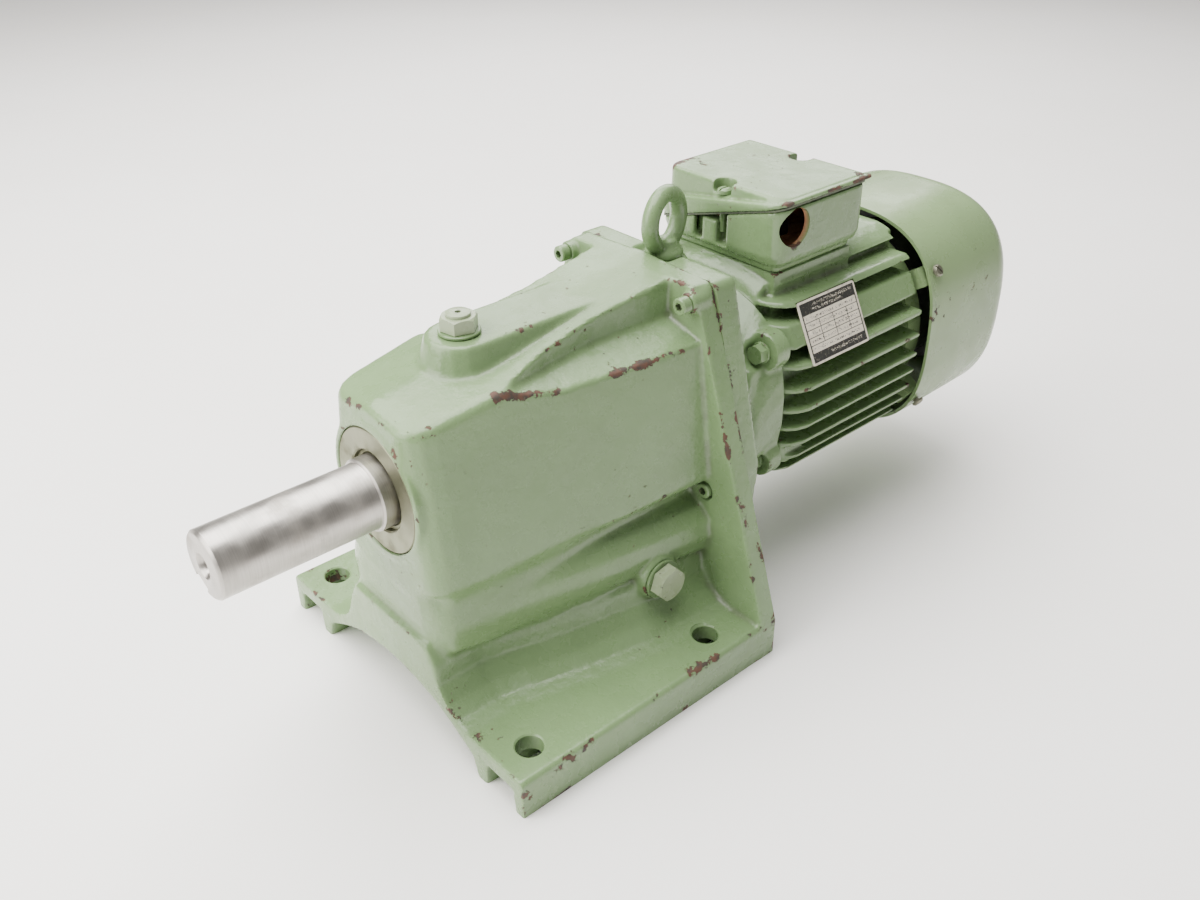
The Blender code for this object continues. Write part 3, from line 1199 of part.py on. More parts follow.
def make_cover():
    """The fan cover with its air grille and four screws."""
    cover = cover_skin("fan_cover", 0.0)
    cut(cover, cover_skin("cover_inside", COVER_WALL))
    for ring in range(GRILLE_RINGS):
        radius = GRILLE_INNER_RADIUS + ring * GRILLE_PITCH
        gap = 0.005 / radius
        for k in range(4):
            start = math.radians(45 + 90 * k) + gap / 2
            cut(cover, grille_slot(radius, start, start + math.pi / 2 - gap))
    screw_x = COVER_FRONT + COVER_SCREW_SETBACK
    axis_point = Vector((screw_x, 0, MOTOR_HEIGHT))
    for number, angle in enumerate(screw_angles(), start=1):
        direction = Vector((0, math.cos(angle), math.sin(angle)))
        face = lug_reach(angle) * (COVER_HALF / (COVER_HALF - COVER_WALL))
        cut(cover, rod("screw_way", axis_point + direction * (face - 0.01),
                       axis_point + direction * (face + 0.01), 0.0018 + CLEARANCE, sides=12))
        screw = rod("cover_screw", axis_point + direction * 0.056,
                    axis_point + direction * (face + 0.0016), 0.0018, sides=12)
        head_low = axis_point + direction * (face + 0.0010)
        join(screw, rod("screw_head", head_low, axis_point + direction * (face + 0.0030), 0.0036,
                        0.0026, sides=16))
        finish(screw, f"fan_cover_screw_{number}", ZINC)
    finish(cover, "fan_cover", GREEN)


def parting(y):
    """The height of the terminal box's sloping parting plane."""
    return BOX_PARTING - BOX_PARTING_SLOPE * y


def lid_flange(y):
    """The height of the lid's sloping outer flange."""
    return LID_FLANGE_HEIGHT - LID_FLANGE_SLOPE * y


def box_outline(inset, front_inset=0.0, rear_inset=0.0):
    """The terminal box's rounded (x, y) footprint."""
    x_low, x_high = BOX_FRONT + inset + front_inset, BOX_REAR - inset - rear_inset
    half = BOX_HALF_WIDTH - inset
    radius = max(BOX_CORNER - inset, 0.0015)
    return rounded([(x_low, -half, radius), (x_high, -half, radius), (x_high, half, radius),
                    (x_low, half, radius)])


def box_loft(name, levels):
    """A terminal box body through (outline, height function) levels."""
    return loft(name, [[(x, y, height(y)) for x, y in outline] for outline, height in levels])


def make_terminal_box():
    """The terminal box with its sloping lid, gasket, screws and terminal board."""
    floor_top = BOX_FLOOR + BOX_NECK
    box = box_loft("terminal_box", [(box_outline(BOX_NECK_INSET), lambda y: BOX_FLOOR),
                                    (box_outline(BOX_NECK_INSET - 0.0005), lambda y: floor_top - 0.002),
                                    (box_outline(0.0015), lambda y: floor_top),
                                    (box_outline(0), lambda y: floor_top + 0.004),
                                    (box_outline(0), parting)])
    cut(box, box_loft("box_inside", [(box_outline(BOX_WALL), lambda y: floor_top + BOX_WALL),
                                     (box_outline(BOX_WALL), lambda y: 0.25)]))
    hole_x = BOX_FRONT + CABLE_HOLE_STATION
    cut(box, rod("cable_hole", (hole_x, -BOX_HALF_WIDTH - 0.01, CABLE_HOLE_HEIGHT),
                 (hole_x, -BOX_HALF_WIDTH + 0.012, CABLE_HOLE_HEIGHT), CABLE_HOLE_RADIUS))
    screw_places = lid_screw_places()
    for x, wall_x in screw_places:
        join(box, box_post(x, wall_x, floor_top + 0.002, BOX_PARTING - 0.0003))
    for x, _ in screw_places:
        cut(box, rod("post_thread", (x, 0, parting(0) - 0.012), (x, 0, parting(0) + 0.01),
                     0.002 + CLEARANCE, sides=12))
    lead_x = BOX_FRONT + LEAD_HOLE_STATION
    cut(box, rod("lead_hole", (lead_x, 0, BOX_FLOOR - 0.01), (lead_x, 0, floor_top + 0.01),
                 LEAD_HOLE_RADIUS, sides=16))
    finish(box, "terminal_box", GREEN)
    make_lid(screw_places)
    board_low = floor_top + BOX_WALL + CLEARANCE
    board_x = BOX_FRONT + 0.020
    board = block("terminal_board", (board_x, -0.020, board_low), (board_x + 0.015, 0.020, board_low + 0.006))
    posts = blocks("studs", [((board_x + x, y - 0.002, board_low + 0.003),
                              (board_x + x + 0.004, y + 0.002, board_low + 0.012))
                             for x in (0.002, 0.009) for y in (-0.013, 0, 0.013)])
    finish(join(board, posts), "terminal_board", PLASTIC)


def lid_screw_places():
    """(x, wall x) of the two lid screws, at the middle of the front and rear walls."""
    return [(BOX_FRONT + LID_SCREW_SETBACK, BOX_FRONT), (BOX_REAR - LID_SCREW_SETBACK, BOX_REAR)]


def box_post(x, wall_x, low, high):
    """A screw post that stands against a wall of the box, its top on the parting plane."""
    reach = 0.005 if wall_x < x else -0.005
    x_low, x_high = sorted((wall_x + 0.001 * math.copysign(1, reach), x + reach))
    def top(y):
        return high - BOX_PARTING_SLOPE * y
    ring = [(x_low, -0.005), (x_high, -0.005), (x_high, 0.005), (x_low, 0.005)]
    return loft("post", [[(a, b, low) for a, b in ring], [(a, b, top(b)) for a, b in ring]])


def make_lid(screw_places):
    """The gasket, the lid with its stepped front, and the lid screws."""
    gasket_low = CLEARANCE
    gasket_high = gasket_low + GASKET
    lid_low = gasket_high + CLEARANCE
    gasket = box_loft("terminal_gasket", [(box_outline(0.0008), lambda y: parting(y) + gasket_low),
                                          (box_outline(0.0008), lambda y: parting(y) + gasket_high)])
    cut(gasket, box_loft("gasket_window", [(box_outline(BOX_WALL + 0.0005), lambda y: 0.17),
                                           (box_outline(BOX_WALL + 0.0005), lambda y: 0.25)]))
    lid = box_loft("terminal_lid", [(box_outline(-0.0008), lambda y: parting(y) + lid_low),
                                    (box_outline(-0.0008), lambda y: lid_flange(y) - 0.001),
                                    (box_outline(0.0005), lid_flange)])
    high = box_loft("lid_top", [(box_outline(0.0010, LID_STEP - 0.002),
                                 lambda y: parting(y) + lid_low + 0.0004),
                                (box_outline(0.0013, LID_STEP), lambda y: BOX_TOP - 0.0008),
                                (box_outline(0.0027, LID_STEP), lambda y: BOX_TOP)])
    join(lid, high)
    cut(lid, box_loft("lid_inside", [(box_outline(BOX_WALL), lambda y: 0.15),
                                     (box_outline(BOX_WALL), lambda y: parting(y) + lid_low + 0.0010)]))
    reach = LID_STEP + LID_WALL
    cut(lid, box_loft("lid_hollow", [(box_outline(0.0045, reach, reach), lambda y: 0.16),
                                     (box_outline(0.0055, reach, reach), lambda y: BOX_TOP - LID_WALL)]))
    for number, (x, wall_x) in enumerate(screw_places, start=1):
        head_seat = LID_FLANGE_HEIGHT
        cut(lid, rod("scallop", (x, 0, head_seat - 0.0005), (x, 0, head_seat + 0.02), 0.0065, sides=20))
        gasket_hole = rod("screw_way", (x, 0, parting(0) - 0.01), (x, 0, head_seat + 0.01),
                          0.002 + CLEARANCE, sides=12)
        cut(lid, gasket_hole)
        screw = rod("lid_screw", (x, 0, parting(0) - 0.010), (x, 0, head_seat + 0.001), 0.002, sides=12)
        join(screw, rod("lid_screw_head", (x, 0, head_seat), (x, 0, head_seat + 0.0028), 0.004, sides=16))
        finish(screw, f"lid_screw_{number}", ZINC)
    finish(lid, "terminal_lid", GREEN)
    finish(gasket, "terminal_gasket", RUBBER)


def make_plate():
    """The rating plate on its flat pad of the stator housing."""
    plate = block("rating_plate", (0, 0, -PLATE_WIDTH / 2),
                  (PLATE_LENGTH, PLATE_THICKNESS, PLATE_WIDTH / 2))
    plate.location = (STATOR_FRONT + PLATE_STATION, -PLATE_OUT, MOTOR_HEIGHT + PLATE_UP)
    plate.rotation_euler = (-PLATE_TILT, 0, 0)
    finish(plate, "rating_plate", PLATE)


def make_eye_bolt():
    """The lifting eye bolt on the shield's flange."""
    x = FLANGE_FRONT + EYE_STATION
    z = EYE_SEAT + CLEARANCE
    ring_z = z + EYE_RING_RADIUS + EYE_BAR_RADIUS + 0.0002
    bm = bmesh.new()
    profile = []
    for k in range(8):
        angle = 2 * math.pi * k / 8
        profile.append(bm.verts.new((EYE_RING_RADIUS + EYE_BAR_RADIUS * math.cos(angle), 0,
                                     -EYE_BAR_RADIUS * math.sin(angle))))
    for k, vert in enumerate(profile):
        bm.edges.new((vert, profile[(k + 1) % 8]))
    ring = object_of("eye_ring", bm)
    screw = ring.modifiers.new("turn", "SCREW")
    screw.steps = 24
    screw.render_steps = 24
    screw.use_merge_vertices = True
    screw.merge_threshold = 0.00001
    ring.rotation_euler = (math.radians(90), 0, EYE_TURN)
    ring.location = (x, 0, ring_z)
    join(ring, rod("collar", (x, 0, z), (x, 0, z + EYE_COLLAR_HEIGHT), EYE_COLLAR_RADIUS, 0.0075))
    join(ring, rod("shank", (x, 0, z - EYE_SHANK_LENGTH), (x, 0, z + 0.003), EYE_SHANK_RADIUS, sides=16))
    finish(ring, "eye_bolt", GREEN)


def hex_radius(across_flats):
    """The corner radius of a hexagon."""
    return across_flats / 2 / math.cos(math.pi / 6)


def make_plugs():
    """The vent plug on top and the level plug on the side, each on its washer."""
    x = CASE_FRONT + VENT_STATION
    base = Vector((x, 0, VENT_PAD_HEIGHT))
    plug_with_washer("vent_plug", "vent_washer", base, Vector((0, 0, 1)), PLUG_HEX, WASHER_RADIUS, True)
    side = Vector((CASE_FRONT + LEVEL_PLUG_STATION, -LEVEL_PLUG_SEAT, LEVEL_PLUG_HEIGHT))
    plug_with_washer("level_plug", "level_washer", side, Vector((0, -1, 0)), LEVEL_HEX,
                     WASHER_RADIUS + 0.001, False)


def plug_with_washer(plug_name, washer_name, base, out, across_flats, washer_radius, vented):
    """A hexagon head plug and its washer on a seat, pointing out."""
    shank = PLUG_SHANK_RADIUS
    washer_low = base + out * CLEARANCE
    washer_high = washer_low + out * WASHER_THICKNESS
    washer = rod(washer_name, washer_low, washer_high, washer_radius, sides=20)
    cut(washer, rod("washer_hole", base - out * 0.01, base + out * 0.02, shank + CLEARANCE, sides=16))
    finish(washer, washer_name, ZINC)
    head_low = washer_high + out * CLEARANCE
    head_high = head_low + out * PLUG_HEAD
    plug = rod(plug_name, head_low, head_high, hex_radius(across_flats), sides=6,
               phase=math.radians(12))
    join(plug, rod("plug_shank", base - out * 0.012, head_low + out * 0.002, shank, sides=16))
    if vented:
        join(plug, rod("vent_cap", head_high - out * 0.001, head_high + out * 0.0015,
                       across_flats * 0.42, across_flats * 0.36, sides=16))
        cut(plug, rod("vent_hole", head_high - out * 0.003, head_high + out * 0.01, 0.0015, sides=10))
    finish(plug, plug_name, GREEN)


def make_screws():
    """The cap screws of the case and the tie screws of the shield ears."""
    for number, (side, y, z, seat) in enumerate(cap_screws(), start=1):
        y *= side
        head_high = seat - CLEARANCE
        screw = rod_x("cap_screw", seat - 0.002, FLANGE_FRONT + 0.009, y, z, CAP_SCREW_RADIUS, 12)
        join(screw, rod_x("cap_head", head_high - CAP_HEAD, head_high, y, z, CAP_HEAD_RADIUS, 16))
        cut(screw, rod("socket", (head_high - CAP_HEAD - 0.01, y, z), (head_high - CAP_HEAD + 0.0025, y, z),
                       hex_radius(0.004), sides=6))
        finish(screw, f"case_screw_{number}", GREEN)
    number = 0
    for side_y in (-1, 1):
        for side_z in (-1, 1):
            number += 1
            y, z = side_y * TIE_HALF_Y, MOTOR_HEIGHT + side_z * TIE_HALF_Z
            seat = SHIELD_REAR - EAR_THICKNESS
            head_high = seat - CLEARANCE
            screw = rod_x("tie_screw", seat - 0.003, STATOR_FRONT + TIE_LENGTH - 0.004, y, z,
                          TIE_RADIUS, 12)
            join(screw, rod_x("tie_washer", head_high - 0.0016, head_high, y, z, 0.0058, 16))
            join(screw, rod_x("tie_head", head_high - 0.0014 - TIE_HEAD, head_high - 0.0012, y, z,
                              TIE_HEAD_RADIUS, 6))
            finish(screw, f"tie_screw_{number}", GREEN)


def main():
    """Builds every piece of the gear motor."""
    make_case()
    make_motor_shield()
    make_output()
    make_layshaft()
    make_rotor()
    make_stator()
    make_brake_shield()
    make_brake()
    make_cover()
    make_terminal_box()
    make_plate()
    make_eye_bolt()
    make_plugs()
    make_screws()


main()
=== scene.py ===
"""Looks of a foot-mounted brake gear motor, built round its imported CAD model.

All lengths are metres in the CAD's frame: +X runs from the output shaft to the fan cover, the near
side with the rating plate faces -Y, and the foot stands on Z = 0.
"""

import logging
import math
from collections.abc import Callable
from dataclasses import dataclass, field
from enum import Enum

import bmesh
import bpy
import numpy as np
from mathutils import Matrix, Vector


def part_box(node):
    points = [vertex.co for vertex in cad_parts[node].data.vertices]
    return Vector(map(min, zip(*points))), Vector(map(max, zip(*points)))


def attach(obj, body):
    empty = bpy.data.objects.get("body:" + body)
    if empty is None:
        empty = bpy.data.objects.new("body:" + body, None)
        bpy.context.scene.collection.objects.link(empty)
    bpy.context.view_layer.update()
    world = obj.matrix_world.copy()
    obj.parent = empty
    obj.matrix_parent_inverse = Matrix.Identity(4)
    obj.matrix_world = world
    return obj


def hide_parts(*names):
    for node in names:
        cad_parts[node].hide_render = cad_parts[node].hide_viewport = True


LOG = logging.getLogger("gear_motor")
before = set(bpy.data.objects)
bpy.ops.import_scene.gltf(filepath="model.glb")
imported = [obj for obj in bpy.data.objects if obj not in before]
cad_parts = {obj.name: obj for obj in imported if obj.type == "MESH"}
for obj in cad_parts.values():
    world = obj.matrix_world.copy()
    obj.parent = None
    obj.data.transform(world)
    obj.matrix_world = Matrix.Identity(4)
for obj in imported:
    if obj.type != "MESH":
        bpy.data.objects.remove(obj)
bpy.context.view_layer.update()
Point = tuple[float, float, float]
Colour = tuple[float, float, float]
Outline = list[tuple[float, float]]

UP = (0, 0, 1)
NEAR = (0, -1, 0)
OUTPUT_HEIGHT = 0.126
MOTOR_HEIGHT = 0.1135
CASE_FRONT = -0.16815
WIRE_DUCT_X = 0.09365
WIRE_DUCT_RADIUS = 0.008
MOST_TRIANGLES = 150_000


class Body(Enum):
    """The CAD bodies that the new pieces ride on."""

    HOUSING = "housing"
    OUTPUT = "output"


class Slot(Enum):
    """The record's material slots, named here but not given to any piece."""

    PAINT = "reseda_green_paint"
    STEEL = "ground_steel"
    ZINC = "zinc_plated"
    PLATE = "printed_plate"
    SEAL = "seal_case"


class NodeSheet:
    """A material's node tree with short calls for the nodes that the finishes share."""

    def __init__(self, name: str) -> None:
        """Starts a material.

        Args:
            name: the material's name.
        """
        self.material = bpy.data.materials.new(name)
        self.material.use_nodes = True
        self.tree = self.material.node_tree
        self.shader = self.tree.nodes["Principled BSDF"]
        self.place = self.add("ShaderNodeTexCoord").outputs["Object"]

    def add(self, kind: str, feeds: dict[str | int, object] | None = None,
            **settings: object) -> bpy.types.Node:
        """Adds a node, sets its properties and feeds its inputs.

        Args:
            kind: the node's type name.
            feeds: outputs or values by the input's name or number.
            settings: property values by name.

        Returns:
            The new node.
        """
        node = self.tree.nodes.new(kind)
        for key, value in settings.items():
            setattr(node, key, value)
        for key, value in (feeds or {}).items():
            self.feed(node.inputs[key], value)
        return node

    def feed(self, socket: bpy.types.NodeSocket, value: object) -> None:
        """Links an output to a socket, or sets the socket to a number or colour.

        Args:
            socket: the input socket.
            value: an output socket, a number or a colour.
        """
        if isinstance(value, bpy.types.NodeSocket):
            self.tree.links.new(value, socket)
        elif isinstance(value, tuple) and len(value) == 3 and len(socket.default_value) == 4:
            socket.default_value = (*value, 1.0)
        else:
            socket.default_value = value

    def noise(self, scale: float, detail: float = 3.0, rough: float = 0.55,
              stretch: Point = (1.0, 1.0, 1.0), shift: Point = (0.0, 0.0, 0.0)) -> bpy.types.NodeSocket:
        """A noise pattern on object coordinates.

        Args:
            scale: waves in a metre.
            detail: octaves.
            rough: share of each further octave.
            stretch: scale along each axis.
            shift: offset of the pattern.

        Returns:
            The noise value.
        """
        mapping = self.add("ShaderNodeMapping", {"Scale": stretch, "Location": shift, "Vector": self.place})
        node = self.add("ShaderNodeTexNoise", {"Scale": scale, "Detail": detail, "Roughness": rough,
                                               "Vector": mapping.outputs[0]})
        return node.outputs["Fac"]

    def ramp(self, value: bpy.types.NodeSocket, low: float, high: float, out_low: float = 0.0,
             out_high: float = 1.0) -> bpy.types.NodeSocket:
        """Maps a range of a value smoothly to another range.

        Args:
            value: the value to map.
            low: where the range starts.
            high: where the range ends.
            out_low: result at the start.
            out_high: result at the end.

        Returns:
            The mapped value.
        """
        node = self.add("ShaderNodeMapRange", {"Value": value, "From Min": low, "From Max": high,
                                               "To Min": out_low, "To Max": out_high},
                        interpolation_type="SMOOTHSTEP")
        return node.outputs["Result"]

    def math(self, operation: str, first: object, second: object = 0.0) -> bpy.types.NodeSocket:
        """A math node.

        Args:
            operation: the node's operation.
            first: first value.
            second: second value.

        Returns:
            The result.
        """
        return self.add("ShaderNodeMath", {0: first, 1: second}, operation=operation).outputs[0]

    def mix(self, share: object, first: object, second: object) -> bpy.types.NodeSocket:
        """Mixes two colours.

        Args:
            share: how much of the second.
            first: the first colour.
            second: the second colour.

        Returns:
            The mixed colour.
        """
        return self.add("ShaderNodeMix", {0: share, 6: first, 7: second}, data_type="RGBA").outputs[2]

    def attribute(self, name: str) -> bpy.types.NodeSocket:
        """The value of a mesh attribute.

        Args:
            name: the attribute's name.

        Returns:
            Its value.
        """
        return self.add("ShaderNodeAttribute", attribute_name=name).outputs["Fac"]

    def bump(self, height: bpy.types.NodeSocket, depth: float, strength: float = 1.0,
             under: bpy.types.NodeSocket | None = None) -> bpy.types.NodeSocket:
        """A bump from a height.

        Args:
            height: the height pattern, 0 to 1.
            depth: metres between its ends.
            strength: how much of it shows.
            under: another bump's normal below this one.

        Returns:
            The bumped normal.
        """
        node = self.add("ShaderNodeBump", {"Distance": depth, "Strength": strength, "Height": height})
        if under is not None:
            self.feed(node.inputs["Normal"], under)
        return node.outputs[0]

    def set(self, **sockets: object) -> None:
        """Feeds the shader's sockets by name, with _ for a space.

        Args:
            sockets: values or outputs by socket name.
        """
        for key, value in sockets.items():
            self.feed(self.shader.inputs[key.replace("_", " ")], value)


@dataclass(frozen=True)
class PaintFinish:
    """Green machine paint that chips to primer and rust along edges.

    chips, grime and cast say how much the paint has chipped, soiled and taken up the casting's
    unevenness, and lining is the colour inside a box.
    """

    name: str
    colour: Colour = (0.150, 0.234, 0.104)
    rust: Colour = (0.088, 0.040, 0.024)
    primer: Colour = (0.040, 0.030, 0.022)
    lining: Colour = (0.560, 0.270, 0.160)
    soil: Colour = (0.060, 0.062, 0.040)
    chips: float = 0.5
    grime: float = 0.5
    cast: float = 0.5
    gloss: float = 0.25

    def make(self) -> bpy.types.Material:
        """Builds the material.

        Returns:
            The paint material.
        """
        sheet = NodeSheet(self.name)
        edge = sheet.attribute("edge")
        hollow = sheet.attribute("hollow")
        worn = sheet.attribute("worn")
        patch = sheet.ramp(sheet.noise(34, 4, 0.62), 0.50, 0.64)
        flake = sheet.noise(175, 6, 0.66)
        chip_line = sheet.math("MULTIPLY", edge, sheet.math("ADD", patch, 0.22))
        chip = sheet.math("ADD", sheet.math("MULTIPLY", chip_line, self.chips), worn)
        chip = sheet.math("ADD", chip, sheet.ramp(flake, 0.32, 0.72, -0.38, 0.34))
        chip = sheet.ramp(chip, 0.40, 0.47)
        speck = sheet.ramp(sheet.noise(300, 2, 0.5, shift=(3.1, 1.7, 0.4)), 0.705, 0.735)
        speck = sheet.math("MULTIPLY", speck, sheet.ramp(sheet.noise(24, 2), 0.45, 0.62))
        bare = sheet.math("MAXIMUM", chip, sheet.math("MULTIPLY", speck, 0.85))
        tone = sheet.noise(9, 3, 0.6, shift=(0.3, 0.9, 0.1))
        light = tuple(channel * 1.10 for channel in self.colour)
        dark = tuple(channel * 0.88 for channel in self.colour)
        paint = sheet.mix(sheet.ramp(tone, 0.3, 0.7), dark, light)
        uneven = sheet.ramp(sheet.noise(60, 4), 0.3, 0.6)
        dirt = sheet.math("MULTIPLY", sheet.ramp(hollow, 0.05, 0.75), uneven)
        dirt = sheet.math("MULTIPLY", dirt, self.grime)
        paint = sheet.mix(dirt, paint, self.soil)
        rusty = sheet.mix(sheet.ramp(sheet.noise(260, 4), 0.40, 0.62), self.rust, self.primer)
        paint = sheet.mix(sheet.attribute("inside"), paint, self.lining)
        sheet.set(Base_Color=sheet.mix(bare, paint, rusty))
        skin = sheet.ramp(sheet.noise(70, 4), 0.3, 0.7, self.gloss - 0.05, self.gloss + 0.10)
        sheet.set(Roughness=sheet.math("ADD", skin, sheet.math("MULTIPLY", bare, 0.42)))
        peel = sheet.bump(sheet.noise(170, 3, 0.5), 0.0011, 0.5 * self.cast)
        fine = sheet.bump(sheet.noise(620, 3, 0.5), 0.0003, 0.45 * self.cast, peel)
        sheet.set(Normal=sheet.bump(sheet.math("SUBTRACT", 1.0, bare), 0.0003, 0.8, fine))
        return sheet.material


@dataclass(frozen=True)
class MetalFinish:
    """Bare metal with machining marks round an axis along X, stains and scratches."""

    name: str
    colour: Colour = (0.46, 0.44, 0.41)
    stain: Colour = (0.22, 0.19, 0.15)
    rough: float = 0.34
    marks: float = 0.5
    stains: float = 0.5

    def make(self) -> bpy.types.Material:
        """Builds the material.

        Returns:
            The metal material.
        """
        sheet = NodeSheet(self.name)
        rings = sheet.noise(1.0, 2, 0.5, stretch=(2600, 60, 60))
        blotch = sheet.ramp(sheet.noise(45, 5, 0.65), 0.48, 0.72)
        scratch = sheet.ramp(sheet.noise(1.0, 3, 0.6, stretch=(60, 900, 900)), 0.62, 0.70)
        share = sheet.math("MULTIPLY", blotch, self.stains)
        bright = tuple(min(1.0, channel * 1.15) for channel in self.colour)
        base = sheet.mix(sheet.ramp(rings, 0.3, 0.7), self.colour, bright)
        sheet.set(Base_Color=sheet.mix(share, base, self.stain), Metallic=1.0)
        rough = sheet.ramp(sheet.noise(90, 4), 0.3, 0.7, self.rough - 0.06, self.rough + 0.10)
        sheet.set(Roughness=sheet.math("ADD", rough, sheet.math("MULTIPLY", share, 0.25)))
        low = sheet.bump(rings, 0.00006, self.marks)
        sheet.set(Normal=sheet.bump(scratch, 0.00004, self.marks * 0.6, low))
        return sheet.material


@dataclass(frozen=True)
class MouldedFinish:
    """Rubber, plastic, lining or varnished copper with a fine grain."""

    name: str
    colour: Colour = (0.03, 0.03, 0.03)
    other: Colour = (0.05, 0.05, 0.05)
    rough: float = 0.6
    grain: float = 700.0
    depth: float = 0.0002
    stretch: Point = (1.0, 1.0, 1.0)
    metallic: float = 0.0

    def make(self) -> bpy.types.Material:
        """Builds the material.

        Returns:
            The moulded material.
        """
        sheet = NodeSheet(self.name)
        grain = sheet.noise(self.grain, 4, 0.6, stretch=self.stretch)
        sheet.set(Base_Color=sheet.mix(sheet.ramp(grain, 0.35, 0.65), self.colour, self.other),
                  Metallic=self.metallic)
        sheet.set(Roughness=sheet.ramp(sheet.noise(80, 3), 0.3, 0.7, self.rough - 0.08, self.rough + 0.08))
        sheet.set(Normal=sheet.bump(grain, self.depth, 0.7))
        return sheet.material


@dataclass(frozen=True)
class PlateFinish:
    """A printed metal plate: pale field with dark bands and thin rules, in the plate's own UV map."""

    name: str
    field_colour: Colour = (0.78, 0.72, 0.60)
    ink: Colour = (0.030, 0.030, 0.028)

    @staticmethod
    def span(sheet: NodeSheet, along: bpy.types.NodeSocket, low: float, high: float) -> bpy.types.NodeSocket:
        """A band across the plate.

        Args:
            sheet: the material's sheet.
            along: the coordinate that the band crosses.
            low: where it starts.
            high: where it ends.

        Returns:
            1 in the band, 0 outside it.
        """
        above = sheet.math("GREATER_THAN", along, low)
        return sheet.math("MULTIPLY", above, sheet.math("LESS_THAN", along, high))

    def make(self) -> bpy.types.Material:
        """Builds the material.

        Returns:
            The plate material.
        """
        sheet = NodeSheet(self.name)
        uv = sheet.add("ShaderNodeUVMap", uv_map="plate")
        split = sheet.add("ShaderNodeSeparateXYZ")
        sheet.feed(split.inputs[0], uv.outputs[0])
        u, v = split.outputs[0], split.outputs[1]

        def area(left: float, right: float, low: float, high: float) -> bpy.types.NodeSocket:
            """1 in a rectangle of the plate, 0 outside it."""
            return sheet.math("MULTIPLY", self.span(sheet, u, left, right), self.span(sheet, v, low, high))

        inner = area(0.025, 0.975, 0.035, 0.965)
        cells = area(0.045, 0.955, 0.185, 0.775)
        ink = sheet.math("SUBTRACT", inner, cells)
        for at in (0.30, 0.42, 0.54, 0.66):
            ink = sheet.math("MAXIMUM", ink, area(0.04, 0.96, at - 0.006, at + 0.006))
        for at in (0.28, 0.52, 0.76):
            ink = sheet.math("MAXIMUM", ink, area(at - 0.005, at + 0.005, 0.30, 0.66))
        dots = sheet.ramp(sheet.noise(1500, 2, 0.5), 0.53, 0.58)
        for at in (0.24, 0.36, 0.48, 0.60, 0.715):
            print_row = sheet.math("MULTIPLY", dots, area(0.08, 0.90, at - 0.020, at + 0.020))
            ink = sheet.math("MAXIMUM", ink, print_row)
        for left, right, at in ((0.22, 0.93, 0.905), (0.22, 0.74, 0.83), (0.34, 0.90, 0.115)):
            print_row = sheet.math("MULTIPLY", dots, area(left, right, at - 0.022, at + 0.022))
            ink = sheet.math("SUBTRACT", ink, sheet.math("MULTIPLY", print_row, 0.85))
        ink = sheet.math("MAXIMUM", ink, 0.0)
        dirt = sheet.ramp(sheet.noise(240, 4, 0.65), 0.50, 0.75)
        field_tone = sheet.mix(dirt, self.field_colour, tuple(0.6 * channel for channel in self.field_colour))
        ink_tone = sheet.mix(sheet.ramp(sheet.noise(700, 3), 0.55, 0.7), self.ink, (0.14, 0.13, 0.10))
        sheet.set(Base_Color=sheet.mix(ink, field_tone, ink_tone), Metallic=0.25)
        sheet.set(Roughness=sheet.ramp(sheet.noise(200, 3), 0.3, 0.7, 0.30, 0.48))
        sheet.set(Normal=sheet.bump(sheet.math("SUBTRACT", 1.0, ink), 0.00005, 0.5))
        return sheet.material


@dataclass(frozen=True)
class Scuff:
    """A worn place along a line, where the paint has chipped."""

    start: Point
    end: Point
    radius: float = 0.004
    strength: float = 0.5


